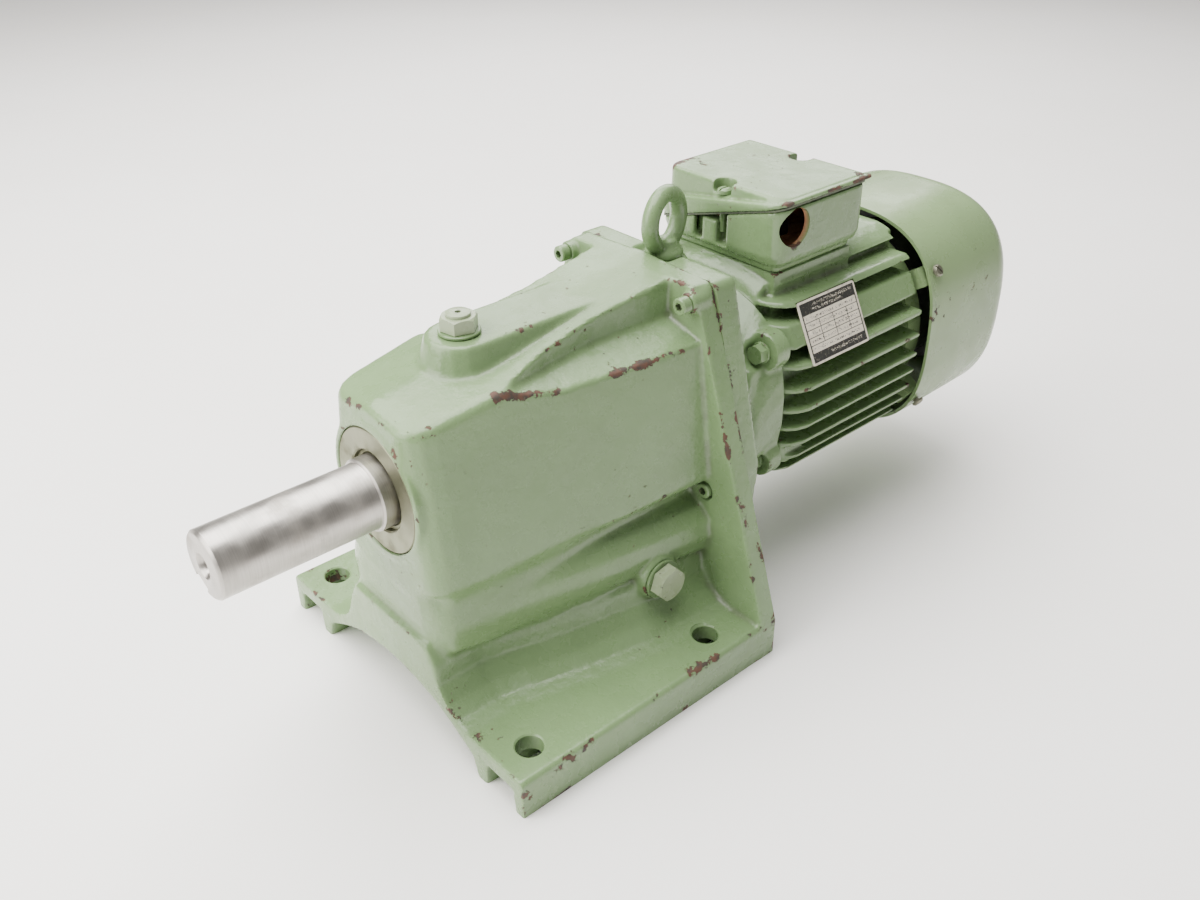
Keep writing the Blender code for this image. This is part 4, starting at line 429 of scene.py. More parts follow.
class Look(Enum):
    """The finishes that a piece can have."""

    CASE = PaintFinish("case_paint", chips=0.62, grime=0.55, cast=0.6)
    MOTOR = PaintFinish("motor_paint", chips=0.42, grime=0.75, cast=0.7)
    COVER = PaintFinish("cover_paint", colour=(0.182, 0.268, 0.124), chips=0.15, grime=0.30, cast=0.2,
                        gloss=0.28)
    LID = PaintFinish("box_paint", chips=0.95, grime=0.45, cast=0.45)
    FASTENER = PaintFinish("fastener_paint", chips=0.80, grime=0.60, cast=0.2)
    PLUG = PaintFinish("plug_paint", colour=(0.270, 0.330, 0.200), chips=0.60, grime=0.60, cast=0.2)
    SHAFT = MetalFinish("shaft_steel", colour=(0.42, 0.40, 0.37), rough=0.36, stains=0.35)
    SEAL = MetalFinish("seal_case_steel", colour=(0.185, 0.190, 0.125), stain=(0.08, 0.07, 0.035),
                       rough=0.42, stains=0.6)
    GROUND = MetalFinish("ground_bearing_steel", rough=0.25, stains=0.1)
    DARK = MetalFinish("dark_machined_steel", colour=(0.12, 0.12, 0.12), rough=0.45)
    ZINC = MetalFinish("zinc_screw_steel", colour=(0.20, 0.20, 0.15), rough=0.45)
    CORE = MouldedFinish("laminated_core", colour=(0.16, 0.16, 0.17), other=(0.09, 0.09, 0.10), rough=0.5,
                         grain=1.0, stretch=(2400.0, 8.0, 8.0), metallic=0.8)
    COPPER = MouldedFinish("varnished_copper", colour=(0.42, 0.15, 0.06), other=(0.28, 0.09, 0.035),
                           rough=0.38, grain=420.0, depth=0.0005, metallic=0.7)
    RUBBER = MouldedFinish("seal_rubber_black")
    # The gasket wears the box's green paint darkened into painted shade: the dark edge stands in for the
    # shadow line under the lid's flange.
    GASKET_PAINTED_SHADE = MouldedFinish("gasket_paint_and_painted_shade", colour=(0.055, 0.070, 0.040), other=(0.085, 0.105, 0.060),
                           rough=0.5)
    PLASTIC = MouldedFinish("fan_plastic", colour=(0.025, 0.025, 0.026), other=(0.035, 0.035, 0.036),
                            rough=0.45, grain=900.0, depth=0.0001)
    LINING = MouldedFinish("friction_lining_brown", colour=(0.10, 0.075, 0.055), other=(0.17, 0.14, 0.10),
                           rough=0.85, grain=900.0, depth=0.0003)
    PLATE = PlateFinish("rating_print")


class Solid:
    """Short calls that start, shape and place bmeshes."""

    @staticmethod
    def spun(profile: Outline, steps: int = 64, closed: bool = True) -> bmesh.types.BMesh:
        """A body turned about the X axis.

        Args:
            profile: (x, radius) points round the section.
            steps: facets round the axis.
            closed: whether the last point joins the first.

        Returns:
            The turned bmesh.
        """
        bm = bmesh.new()
        rim = [bm.verts.new((x, 0.0, radius)) for x, radius in profile]
        edges = [bm.edges.new(pair) for pair in zip(rim, rim[1:])]
        if closed:
            edges.append(bm.edges.new((rim[-1], rim[0])))
        bmesh.ops.spin(bm, geom=rim + edges, cent=(0, 0, 0), axis=(1, 0, 0), angle=2 * math.pi,
                       steps=steps, use_merge=True)
        bmesh.ops.remove_doubles(bm, verts=bm.verts, dist=1e-7)
        bmesh.ops.recalc_face_normals(bm, faces=bm.faces)
        return bm

    @staticmethod
    def rod(low: float, high: float, radius: float, sides: int = 48, bevel: float = 0.0,
            phase: float = 0.0) -> bmesh.types.BMesh:
        """A cylinder or prism along X with softened rims.

        Args:
            low: station of its first end.
            high: station of its second end.
            radius: its radius over the corners.
            sides: facets round it.
            bevel: width of the rim's bevel.
            phase: turn about X.

        Returns:
            The rod's bmesh.
        """
        bm = bmesh.new()
        turn = Matrix.Rotation(phase, 4, "X") @ Matrix.Rotation(math.radians(90), 4, "Y")
        bmesh.ops.create_cone(bm, cap_ends=True, segments=sides, radius1=radius, radius2=radius,
                              depth=high - low, matrix=Matrix.Translation(((low + high) / 2, 0, 0)) @ turn)
        if bevel:
            Solid.bevelled(bm, [edge for edge in bm.edges if edge.calc_face_angle(0) > 0.9], bevel)
        return bm

    @staticmethod
    def bevelled(bm: bmesh.types.BMesh, edges: list[bmesh.types.BMEdge], width: float,
                 segments: int = 2) -> None:
        """Rounds edges.

        Args:
            bm: the bmesh.
            edges: the edges to round.
            width: width of the round.
            segments: facets across it.
        """
        bmesh.ops.bevel(bm, geom=edges, offset=width, offset_type="OFFSET", segments=segments, profile=0.5,
                        affect="EDGES", clamp_overlap=True, material=-1)

    @staticmethod
    def block(low: Point, high: Point, bevel: float = 0.0) -> bmesh.types.BMesh:
        """A box with rounded edges.

        Args:
            low: its low corner.
            high: its high corner.
            bevel: radius of its edges.

        Returns:
            The box's bmesh.
        """
        bm = bmesh.new()
        bmesh.ops.create_cube(bm, size=1.0)
        size = Vector(high) - Vector(low)
        bmesh.ops.scale(bm, vec=size, verts=bm.verts)
        bmesh.ops.translate(bm, vec=(Vector(low) + Vector(high)) / 2, verts=bm.verts)
        if bevel:
            Solid.bevelled(bm, bm.edges[:], bevel, 3)
        return bm

    @staticmethod
    def rounded(corners: list[tuple[float, float, float]], segments: int = 6) -> Outline:
        """An outline whose corners are arcs.

        Args:
            corners: (u, v, radius) of each corner, in order.
            segments: facets of each arc.

        Returns:
            The outline's points.
        """
        outline = []
        for i, (u, v, radius) in enumerate(corners):
            here = Vector((u, v))
            before = (Vector(corners[i - 1][:2]) - here).normalized()
            after = (Vector(corners[(i + 1) % len(corners)][:2]) - here).normalized()
            half = before.angle(after) / 2
            middle = here + (before + after).normalized() * (radius / math.sin(half))
            first = here + before * (radius / math.tan(half)) - middle
            last = here + after * (radius / math.tan(half)) - middle
            sweep = first.angle_signed(last)
            outline += [tuple(middle + Matrix.Rotation(-sweep * k / segments, 2) @ first)
                        for k in range(segments + 1)]
        return outline

    @staticmethod
    def loft(rings: list[list[Point]]) -> bmesh.types.BMesh:
        """A closed skin through rings of points.

        Args:
            rings: the rings, each with as many points.

        Returns:
            The skin's bmesh.
        """
        bm = bmesh.new()
        rows = [[bm.verts.new(point) for point in ring] for ring in rings]
        for row, following in zip(rows, rows[1:]):
            for i, vert in enumerate(row):
                j = (i + 1) % len(row)
                bm.faces.new((vert, row[j], following[j], following[i]))
        bm.faces.new(rows[0])
        bm.faces.new(rows[-1])
        bmesh.ops.recalc_face_normals(bm, faces=bm.faces)
        return bm

    @staticmethod
    def placed(bm: bmesh.types.BMesh, at: Point, out: Point = (1.0, 0.0, 0.0)) -> bmesh.types.BMesh:
        """Moves a body made along X to a point, with its +X turned to a direction.

        Args:
            bm: the bmesh.
            at: where its origin goes.
            out: where its +X goes.

        Returns:
            The same bmesh.
        """
        turn = Vector((1, 0, 0)).rotation_difference(Vector(out).normalized()).to_matrix().to_4x4()
        bmesh.ops.transform(bm, matrix=Matrix.Translation(at) @ turn, verts=bm.verts)
        return bm

    @staticmethod
    def turned(bm: bmesh.types.BMesh, angle: float, axis: str = "X") -> bmesh.types.BMesh:
        """Turns a body about an axis through the origin.

        Args:
            bm: the bmesh.
            angle: the turn.
            axis: X, Y or Z.

        Returns:
            The same bmesh.
        """
        bmesh.ops.rotate(bm, cent=(0, 0, 0), matrix=Matrix.Rotation(angle, 3, axis), verts=bm.verts)
        return bm

    @staticmethod
    def shifted(bm: bmesh.types.BMesh, by: Point) -> bmesh.types.BMesh:
        """Moves a body.

        Args:
            bm: the bmesh.
            by: how far it moves.

        Returns:
            The same bmesh.
        """
        bmesh.ops.translate(bm, vec=by, verts=bm.verts)
        return bm

    @staticmethod
    def slab(low: float, high: float) -> bmesh.types.BMesh:
        """A block between two stations of X that reaches past the object on all sides.

        Args:
            low: its first station.
            high: its second station.

        Returns:
            The block's bmesh.
        """
        return Solid.block((low, -0.2, -0.1), (high, 0.2, 0.3))

    @staticmethod
    def joined(parts: list[bmesh.types.BMesh]) -> bmesh.types.BMesh:
        """Puts several bodies in one bmesh.

        Args:
            parts: the bodies, which are freed.

        Returns:
            The bmesh that holds them all.
        """
        whole = bmesh.new()
        for part in parts:
            mesh = bpy.data.meshes.new("part")
            part.to_mesh(mesh)
            part.free()
            whole.from_mesh(mesh)
            bpy.data.meshes.remove(mesh)
        return whole

    @staticmethod
    def copied(node: str) -> bmesh.types.BMesh:
        """A merged copy of a CAD node's mesh.

        Args:
            node: the node's name.

        Returns:
            The copy.
        """
        bm = bmesh.new()
        bm.from_mesh(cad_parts[node].data)
        bmesh.ops.remove_doubles(bm, verts=bm.verts, dist=2e-6)
        return bm


class Shop:
    """Turns bmeshes into objects, and runs remeshing and cutting on them."""

    @staticmethod
    def item(name: str, bm: bmesh.types.BMesh) -> bpy.types.Object:
        """An object of a bmesh, linked to the scene.

        Args:
            name: the object's name.
            bm: its bmesh, which is freed.

        Returns:
            The object.
        """
        mesh = bpy.data.meshes.new(name)
        bm.to_mesh(mesh)
        bm.free()
        obj = bpy.data.objects.new(name, mesh)
        bpy.context.scene.collection.objects.link(obj)
        return obj

    @staticmethod
    def settled(obj: bpy.types.Object) -> bpy.types.Object:
        """Applies all modifiers of an object to its mesh.

        Args:
            obj: the object.

        Returns:
            The same object.
        """
        graph = bpy.context.evaluated_depsgraph_get()
        mesh = bpy.data.meshes.new_from_object(obj.evaluated_get(graph))
        obj.modifiers.clear()
        old = obj.data
        obj.data = mesh
        bpy.data.meshes.remove(old)
        return obj

    @staticmethod
    def reworked(obj: bpy.types.Object, work: Callable[[bmesh.types.BMesh], object]) -> bpy.types.Object:
        """Runs a function on an object's mesh as a bmesh.

        Args:
            obj: the object.
            work: changes the bmesh.

        Returns:
            The same object.
        """
        bm = bmesh.new()
        bm.from_mesh(obj.data)
        work(bm)
        bm.to_mesh(obj.data)
        bm.free()
        return obj

    @staticmethod
    def put(obj: bpy.types.Object, at: Point, out: Point = (1.0, 0.0, 0.0)) -> None:
        """Moves an object's mesh, made along X, to a point, with its +X turned to a direction.

        Args:
            obj: the object.
            at: where the mesh's origin goes.
            out: where its +X goes.
        """
        Shop.reworked(obj, lambda bm: Solid.placed(bm, at, out))

    @staticmethod
    def smoothed(bm: bmesh.types.BMesh, verts: list[bmesh.types.BMVert]) -> None:
        """Draws points half of the way to the middle of their neighbours.

        Args:
            bm: the bmesh.
            verts: the points.
        """
        bmesh.ops.smooth_vert(bm, verts=verts, factor=0.5, use_axis_x=True, use_axis_y=True, use_axis_z=True)

    @staticmethod
    def cast(obj: bpy.types.Object, voxel: float, passes: int) -> bpy.types.Object:
        """Gives a body cast fillets: remeshes it and smooths the skin.

        Args:
            obj: the object.
            voxel: size of the new faces.
            passes: rounds of smoothing.

        Returns:
            The same object.
        """
        modifier = obj.modifiers.new("skin", "REMESH")
        modifier.mode = "VOXEL"
        modifier.voxel_size = voxel
        Shop.settled(obj)

        def smooth(bm: bmesh.types.BMesh) -> None:
            """Smooths all of the skin."""
            for _ in range(passes):
                Shop.smoothed(bm, bm.verts[:])

        return Shop.reworked(obj, smooth)

    @staticmethod
    def softened(obj: bpy.types.Object, low: Point, high: Point, passes: int) -> None:
        """Blends the forms inside a box, on both sides of the middle plane, with less towards its ends.

        Args:
            obj: the object.
            low: the box's low corner, with y out from the middle plane.
            high: its high corner.
            passes: rounds of smoothing.
        """
        middle, half = (Vector(low) + Vector(high)) / 2, (Vector(high) - Vector(low)) / 2

        def blend(bm: bmesh.types.BMesh) -> None:
            """Smooths a region that shrinks towards the box's middle with each round."""
            depth = {}
            for vert in bm.verts:
                place = Vector((vert.co.x, abs(vert.co.y), vert.co.z)) - middle
                depth[vert] = min(1 - abs(place[axis]) / half[axis] for axis in range(3))
            for number in range(passes):
                edge = 0.35 * number / passes
                Shop.smoothed(bm, [vert for vert, value in depth.items() if value > edge])

        Shop.reworked(obj, blend)

    @staticmethod
    def cut(obj: bpy.types.Object, cutters: list[bmesh.types.BMesh], operation: str = "DIFFERENCE"
            ) -> bpy.types.Object:
        """Cuts bodies out of an object, or joins them to it.

        Args:
            obj: the object.
            cutters: closed bodies.
            operation: the Boolean's operation.

        Returns:
            The same object.
        """
        tools = []
        for number, bm in enumerate(cutters):
            tool = Shop.item(f"tool_{number}", bm)
            tools.append(tool)
            modifier = obj.modifiers.new("cut", "BOOLEAN")
            modifier.operation = operation
            modifier.solver = "MANIFOLD"
            modifier.object = tool
        Shop.settled(obj)
        for tool in tools:
            bpy.data.objects.remove(tool)
        return obj

    @staticmethod
    def thinned(obj: bpy.types.Object) -> None:
        """Takes triangles out of a dense piece where its skin is flat.

        Args:
            obj: the object.
        """
        count = sum(len(face.vertices) - 2 for face in obj.data.polygons)
        if count > MOST_TRIANGLES:
            modifier = obj.modifiers.new("thin", "DECIMATE")
            modifier.ratio = MOST_TRIANGLES / count
            Shop.settled(obj)

    @staticmethod
    def rows(items: bpy.types.bpy_prop_collection, key: str, width: int, kind: type = float) -> np.ndarray:
        """Numbers of a mesh's points or edges.

        Args:
            items: the points or edges.
            key: which of their values.
            width: numbers in each value.
            kind: the numbers' type.

        Returns:
            A row for each item.
        """
        values = np.empty(len(items) * width, dtype=kind)
        items.foreach_get(key, values)
        return values.reshape(-1, width)

    @staticmethod
    def mark(mesh: bpy.types.Mesh, name: str, values: np.ndarray) -> None:
        """Writes a number for each point of a mesh.

        Args:
            mesh: the mesh.
            name: name of the new attribute.
            values: its numbers.
        """
        mesh.attributes.new(name, "FLOAT", "POINT").data.foreach_set("value", values.astype(np.float32))

    @staticmethod
    def wear(obj: bpy.types.Object, scuffs: list[Scuff] | None = None, reach: int = 3,
             gain: float = 1.0) -> None:
        """Writes how far each point stands out on an edge, lies in a hollow or is in a worn patch.

        Args:
            obj: the object.
            scuffs: the worn places.
            reach: rounds that the values spread.
            gain: strength of the edge value.
        """
        mesh = obj.data
        count = len(mesh.vertices)
        points = Shop.rows(mesh.vertices, "co", 3)
        normals = Shop.rows(mesh.vertex_normals, "vector", 3)
        first, second = Shop.rows(mesh.edges, "vertices", 2, np.int64).T
        span = points[second] - points[first]
        length = np.maximum(np.linalg.norm(span, axis=1), 1e-9)
        turn = ((normals[second] - normals[first]) * span).sum(axis=1) / length
        degree = np.maximum(np.bincount(first, minlength=count) + np.bincount(second, minlength=count), 1)

        def spread(values: np.ndarray) -> np.ndarray:
            """The mean of each point's value and its neighbours'."""
            total = np.bincount(first, weights=values[second], minlength=count)
            total += np.bincount(second, weights=values[first], minlength=count)
            return (values + total / degree) / 2

        bend = (np.bincount(first, weights=turn, minlength=count)
                + np.bincount(second, weights=turn, minlength=count)) / degree
        for _ in range(reach):
            bend = spread(bend)
        worn = np.zeros(count)
        for scuff in scuffs or []:
            start, line = np.array(scuff.start), np.array(scuff.end) - np.array(scuff.start)
            share = np.clip((points - start) @ line / max(line @ line, 1e-12), 0, 1)
            distance = np.linalg.norm(points - start - share[:, None] * line, axis=1)
            worn = np.maximum(worn, scuff.strength * np.clip(1 - distance / scuff.radius, 0, 1) ** 0.7)
        Shop.mark(mesh, "edge", np.clip(bend * 3.2 * gain, 0, 1))
        Shop.mark(mesh, "hollow", np.clip(-bend * 3.5, 0, 1))
        Shop.mark(mesh, "worn", worn)


class Yard:
    def __init__(self) -> None:
        """Makes the finishes that the pieces share."""
        self.looks = {look: look.value.make() for look in Look}

    def dress(self, obj: bpy.types.Object, look: Look, body: Body, nodes: tuple[str, ...] = (),
              smooth: float = 35.0) -> bpy.types.Object:
        """Gives a piece its material and body, and the CAD nodes that it stands for.

        Args:
            obj: the piece.
            look: its finish.
            body: the body that it rides on.
            nodes: CAD nodes that it replaces.
            smooth: the angle up to which faces shade smooth, in degrees.

        Returns:
            The piece.
        """
        Shop.thinned(obj)
        obj.data.materials.clear()
        obj.data.materials.append(self.looks[look])
        obj.data.shade_smooth()
        if smooth < 180:
            obj.data.set_sharp_from_angle(angle=math.radians(smooth))
        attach(obj, body.value)
        if nodes:
            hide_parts(*nodes)
        LOG.info("%s: %d faces", obj.name, len(obj.data.polygons))
        return obj

    def fasten(self, obj: bpy.types.Object, look: Look, node: str, smooth: float = 30.0) -> None:
        """Wears and dresses a small piece of the housing.

        Args:
            obj: the piece.
            look: its finish.
            node: the CAD node that it replaces.
            smooth: the angle up to which faces shade smooth, in degrees.
        """
        Shop.wear(obj, reach=0, gain=0.15)
        self.dress(obj, look, Body.HOUSING, (node,), smooth)

    def carry_over(self, look: Look, *nodes: str) -> None:
        """Gives CAD nodes that stay in view a finish.

        Args:
            look: the finish.
            nodes: the nodes' names.
        """
        for node in nodes:
            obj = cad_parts[node]
            if not obj.material_slots:
                obj.data.materials.append(self.looks[look])
            obj.material_slots[0].material = self.looks[look]


def centre(node: str) -> Vector:
    """The middle of a CAD node's box.

    Args:
        node: the node's name.

    Returns:
        The middle point.
    """
    low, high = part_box(node)
    return (Vector(low) + Vector(high)) / 2


def moved(bm: bmesh.types.BMesh, axis: int, plane: float, by: float, tolerance: float = 0.0006) -> None:
    """Draws a body's end face out along an axis, so that a later cut leaves a crisp edge there.

    Args:
        bm: the bmesh.
        axis: 0, 1 or 2.
        plane: where the end face lies.
        by: how far it moves.
        tolerance: how near a point lies to the face.
    """
    for vert in bm.verts:
        if abs(vert.co[axis] - plane) < tolerance:
            vert.co[axis] += by


@dataclass
class GearCase:
    """The cast gear case with foot, its plugs and cap screws.

    holes are the foot holes' x and y, wall gives the side wall's half width and top at stations of x,
    blend is the box in which the lower front is softened, and scuffs are where the paint is worn.
    """

    front: float = CASE_FRONT
    rear: float = -0.00265
    bore: float = 0.0313
    foot_top: float = 0.0214
    hole: float = 0.00675
    plug_hole: float = 0.0053
    stock: float = 0.001
    wall_low: float = 0.050
    voxel: float = 0.00118
    blend: tuple[Point, Point] = ((-0.175, 0.026, 0.040), (-0.070, 0.062, 0.104))
    blend_passes: int = 34
    washer: float = 0.0015
    holes: list[tuple[float, float]] = field(default_factory=lambda: [
        (-0.15265, -0.085), (-0.15265, 0.085), (-0.03765, -0.085), (-0.03765, 0.085)])
    wall: list[tuple[float, float, float]] = field(default_factory=lambda: [
        (-0.1607, 0.0408, 0.0867), (-0.1417, 0.0451, 0.0875), (-0.1086, 0.0471, 0.0889),
        (-0.0689, 0.0467, 0.0906), (-0.0053, 0.0472, 0.0933)])
    scuffs: list[Scuff] = field(default_factory=lambda: [
        Scuff((-0.0030, -0.0478, 0.1900), (-0.0030, -0.0550, 0.1400), 0.0018, 0.62),
        Scuff((-0.0030, -0.0600, 0.1050), (-0.0030, -0.0760, 0.0780), 0.0022, 0.62),
        Scuff((-0.1237, -0.0361, 0.1721), (-0.1127, -0.0379, 0.1702), 0.0042, 0.75),
        Scuff((-0.1127, -0.0379, 0.1702), (-0.0922, -0.0402, 0.166), 0.003, 0.6),
        Scuff((-0.0636, -0.0431, 0.1659), (-0.043, -0.0466, 0.1658), 0.0034, 0.7),
        Scuff((-0.043, -0.0466, 0.1658), (-0.0226, -0.0493, 0.1655), 0.0025, 0.55),
        Scuff((-0.0124, -0.0794, 0.09), (-0.0095, -0.084, 0.076), 0.0036, 0.55),
        Scuff((-0.0061, -0.0888, 0.0612), (-0.0061, -0.091, 0.054), 0.0032, 0.5),
        Scuff((-0.0601, -0.0985, 0.0214), (-0.0456, -0.1005, 0.0214), 0.005, 0.62),
        Scuff((-0.1485, -0.1015, 0.0175), (-0.1304, -0.1015, 0.0195), 0.0045, 0.52),
        Scuff((-0.1662, -0.1015, 0.0095), (-0.169, -0.101, 0.015), 0.0045, 0.5),
        Scuff((-0.0251, -0.1011, 0.0203), (-0.012, -0.1011, 0.0203), 0.004, 0.45),
        Scuff((-0.1675, 0.0174, 0.1655), (-0.1675, 0.006, 0.1668), 0.0032, 0.48),
        Scuff((-0.1682, -0.0209, 0.156), (-0.1682, -0.0215, 0.1499), 0.0032, 0.5),
        Scuff((-0.1612, -0.0318, 0.1645), (-0.156, -0.032, 0.166), 0.0036, 0.45),
        Scuff((-0.1677, -0.046, 0.0276), (-0.1675, -0.0671, 0.0214), 0.004, 0.5),
        Scuff((-0.0097, -0.0453, 0.1911), (-0.015, -0.045, 0.1908), 0.0036, 0.5)])

    def build(self, yard: Yard) -> None:
        """Builds the casting and what is screwed into it.

        Args:
            yard: dresses the pieces.
        """
        self.casting(yard)
        self.plugs(yard)
        self.cap_screws(yard)

    def casting(self, yard: Yard) -> None:
        """The case itself, with crisp machined faces and drilled holes.

        The holes are filled before the skin is remeshed and drilled again after it, so that their rims
        stay sharp.

        Args:
            yard: dresses the piece.
        """
        bm = Solid.copied("gear_case")
        moved(bm, 0, self.rear, 0.004)
        moved(bm, 2, 0.0002, -0.004)
        parts = [bm, Solid.placed(Solid.rod(self.front + 0.0002, self.front + 0.03, self.bore + self.stock),
                                  (0, 0, OUTPUT_HEIGHT))]
        for x, y in self.holes:
            fill = Solid.rod(0.0126, self.foot_top - 0.0001, self.hole + self.stock)
            parts.append(Solid.placed(fill, (x, y, 0), UP))
        vent, level = centre("vent_plug"), centre("level_plug")
        bosses = (((vent.x, vent.y, 0), UP, (0.172, 0.1878), (0.165, 0.195)),
                  ((level.x, 0, level.z), NEAR, (0.045, 0.0613), (0.040, 0.066)))
        for at, out, fill, _ in bosses:
            parts.append(Solid.placed(Solid.rod(*fill, self.plug_hole + 0.0012), at, out))
        low = self.wall_low
        parts.append(Solid.loft([[(x, half, top), (x, half, low), (x, -half, low), (x, -half, top)]
                                 for x, half, top in self.wall]))
        case = Shop.cast(Shop.item("case_casting", Solid.joined(parts)), self.voxel, 3)
        Shop.softened(case, *self.blend, self.blend_passes)
        mouth = Solid.spun([(-0.002, 0), (-0.002, self.bore + 0.0014), (0.0, self.bore + 0.0006),
                            (0.0006, self.bore), (0.034, self.bore), (0.034, 0)], 96, False)
        below = Solid.block((-0.3, -0.2, -0.02), (0.1, 0.2, 0.0))
        cutters = [Solid.slab(self.rear, self.rear + 0.02), below,
                   Solid.placed(mouth, (self.front, 0, OUTPUT_HEIGHT))]
        for x, y in self.holes:
            rim = self.hole + 0.0012
            drill = Solid.spun([(0.0, 0), (0.0, self.hole), (self.foot_top - 0.0007, self.hole),
                                (self.foot_top + 0.0004, rim), (0.026, rim), (0.026, 0)], 40, False)
            cutters.append(Solid.placed(drill, (x, y, 0), UP))
        for at, out, _, drill in bosses:
            cutters.append(Solid.placed(Solid.rod(*drill, self.plug_hole), at, out))
        Shop.cut(case, cutters)
        Shop.wear(case, self.scuffs, gain=1.3)
        yard.dress(case, Look.CASE, Body.HOUSING, ("gear_case",))

    def plug(self, yard: Yard, name: str, node: str, out: Point, flats: float, head: float,
             vented: bool) -> None:
        """A hexagon head plug with a domed or flat top.

        Args:
            yard: dresses the piece.
            name: the piece's name.
            node: the CAD node that it stands for.
            out: the way that it points.
            flats: width across flats.
            head: height of the hexagon.
            vented: whether it has a round cap with a hole.
        """
        low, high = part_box(node)
        axis = 2 if out[2] else 1
        end = high[axis] if out[axis] > 0 else -low[axis]
        top = end - 0.0015 if vented else end
        seat = top - head
        corner = flats / math.sqrt(3)
        piece = Shop.item(name, Solid.rod(seat, top, corner, 6, phase=math.radians(12)))
        cone = Solid.spun([(seat - 0.001, 0), (seat - 0.001, corner + 0.001), (top - 0.0011, corner + 0.0002),
                           (top + 0.0001, flats / 2 - 0.0002), (top + 0.0001, 0)], 48, False)
        Shop.cut(piece, [cone], "INTERSECT")
        extra = [Solid.rod(seat - 0.010, seat + 0.0005, 0.005, 32)]
        if vented:
            extra.append(Solid.rod(top - 0.0008, end, flats * 0.37, 40, 0.0006))
        Shop.cut(piece, extra, "UNION")
        if vented:
            Shop.cut(piece, [Solid.rod(end - 0.0022, end + 0.001, 0.0014, 20)])
        base = centre(node)
        base[axis] = 0
        Shop.put(piece, base, out)
        yard.fasten(piece, Look.PLUG, node)

    def plugs(self, yard: Yard) -> None:
        """The vent plug, the level plug and their washers.

        Args:
            yard: dresses the pieces.
        """
        self.plug(yard, "vent_hexagon", "vent_plug", UP, 0.0155, 0.0065, True)
        self.plug(yard, "level_hexagon", "level_plug", NEAR, 0.0165, 0.0065, False)
        half, edge = self.washer / 2, 0.0004
        for node, out, radius in (("vent_washer", UP, 0.0098), ("level_washer", NEAR, 0.0108)):
            ring = Solid.spun([(-half, 0.0054), (half, 0.0054), (half, radius - edge), (edge, radius),
                               (-edge, radius), (-half, radius - edge)], 64)
            piece = Shop.item(f"{node}_ring", Solid.placed(ring, centre(node), out))
            yard.fasten(piece, Look.FASTENER, node, 35.0)

    def cap_screws(self, yard: Yard) -> None:
        """The four socket head screws that hold the case to the flange.

        Args:
            yard: dresses the pieces.
        """
        for number in range(1, 5):
            node = f"case_screw_{number}"
            top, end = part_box(node)[0][0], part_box(node)[1][0]
            at = centre(node)
            head, shank = 0.00425, 0.0025
            screw = Solid.spun([(end, 0), (end, 0.0023), (end - 0.001, shank), (top + 0.005, shank),
                                (top + 0.005, head), (top + 0.0006, head), (top, 0.0037), (top, 0)],
                               40, False)
            piece = Shop.item(f"cap_screw_{number}", screw)
            Shop.cut(piece, [Solid.rod(top - 0.001, top + 0.0026, 0.0023, 6)])
            Shop.put(piece, (0, at.y, at.z))
            yard.fasten(piece, Look.FASTENER, node)


@dataclass
class OutputDrive:
    """The output shaft and the seal round it."""

    tip: float = -0.25015
    radius: float = 0.016
    seat: float = 0.0175
    collar: float = 0.0203
    wheel_seat: float = 0.0168
    keyway: float = 0.068
    keyway_turn: float = math.radians(27)

    def build(self, yard: Yard) -> None:
        """Builds the shaft and the seal.

        Args:
            yard: dresses the pieces.
        """
        self.shaft(yard)
        self.seal(yard)

    def shaft(self, yard: Yard) -> None:
        """The bare shaft end on its seat, with centre hole and keyway.

        Args:
            yard: dresses the piece.
        """
        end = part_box("output_shaft")[1][0]
        seat_end, collar_front, collar_rear = CASE_FRONT - 0.006, CASE_FRONT + 0.0253, end - 0.0536
        profile = [(end, 0), (end, self.wheel_seat - 0.001), (end - 0.001, self.wheel_seat),
                   (end - 0.0242, self.wheel_seat), (end - 0.0242, self.seat), (collar_rear, self.seat),
                   (collar_rear, self.collar), (collar_front, self.collar), (collar_front, self.seat),
                   (seat_end + 0.0008, self.seat), (seat_end, self.seat - 0.0008),
                   (seat_end, self.radius + 0.0003), (seat_end - 0.0006, self.radius),
                   (self.tip + 0.0015, self.radius),
                   (self.tip + 0.0003, self.radius - 0.0010), (self.tip, self.radius - 0.0016),
                   (self.tip, 0.0062), (self.tip + 0.0014, 0.0048), (self.tip + 0.003, 0.0040),
                   (self.tip + 0.010, 0.0040), (self.tip + 0.0125, 0)]
        piece = Shop.item("output_shaft_turned", Solid.spun(profile, 112, False))
        slot = Solid.block((self.tip - 0.004, -0.005, -0.03),
                           (self.tip + self.keyway, 0.005, 0.005 - self.radius))
        Shop.cut(piece, [Solid.turned(slot, self.keyway_turn)])
        Shop.put(piece, (0, 0, OUTPUT_HEIGHT))
        yard.dress(piece, Look.SHAFT, Body.OUTPUT, ("output_shaft",))

    def seal(self, yard: Yard) -> None:
        """The seal's metal case with its dished middle.

        Args:
            yard: dresses the piece.
        """
        x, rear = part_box("output_seal")[0][0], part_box("output_seal")[1][0]
        profile = [(rear, 0.0310), (x + 0.0006, 0.0310), (x, 0.0304), (x, 0.0206), (x + 0.0007, 0.0199),
                   (x + 0.0026, 0.0196), (x + 0.0026, 0.0182), (x + 0.0018, 0.0178), (x + 0.004, 0.0178),
                   (rear, 0.0178)]
        piece = Shop.item("output_seal_case", Solid.placed(Solid.spun(profile, 112), (0, 0, OUTPUT_HEIGHT)))
        yard.dress(piece, Look.SEAL, Body.HOUSING, ("output_seal",))


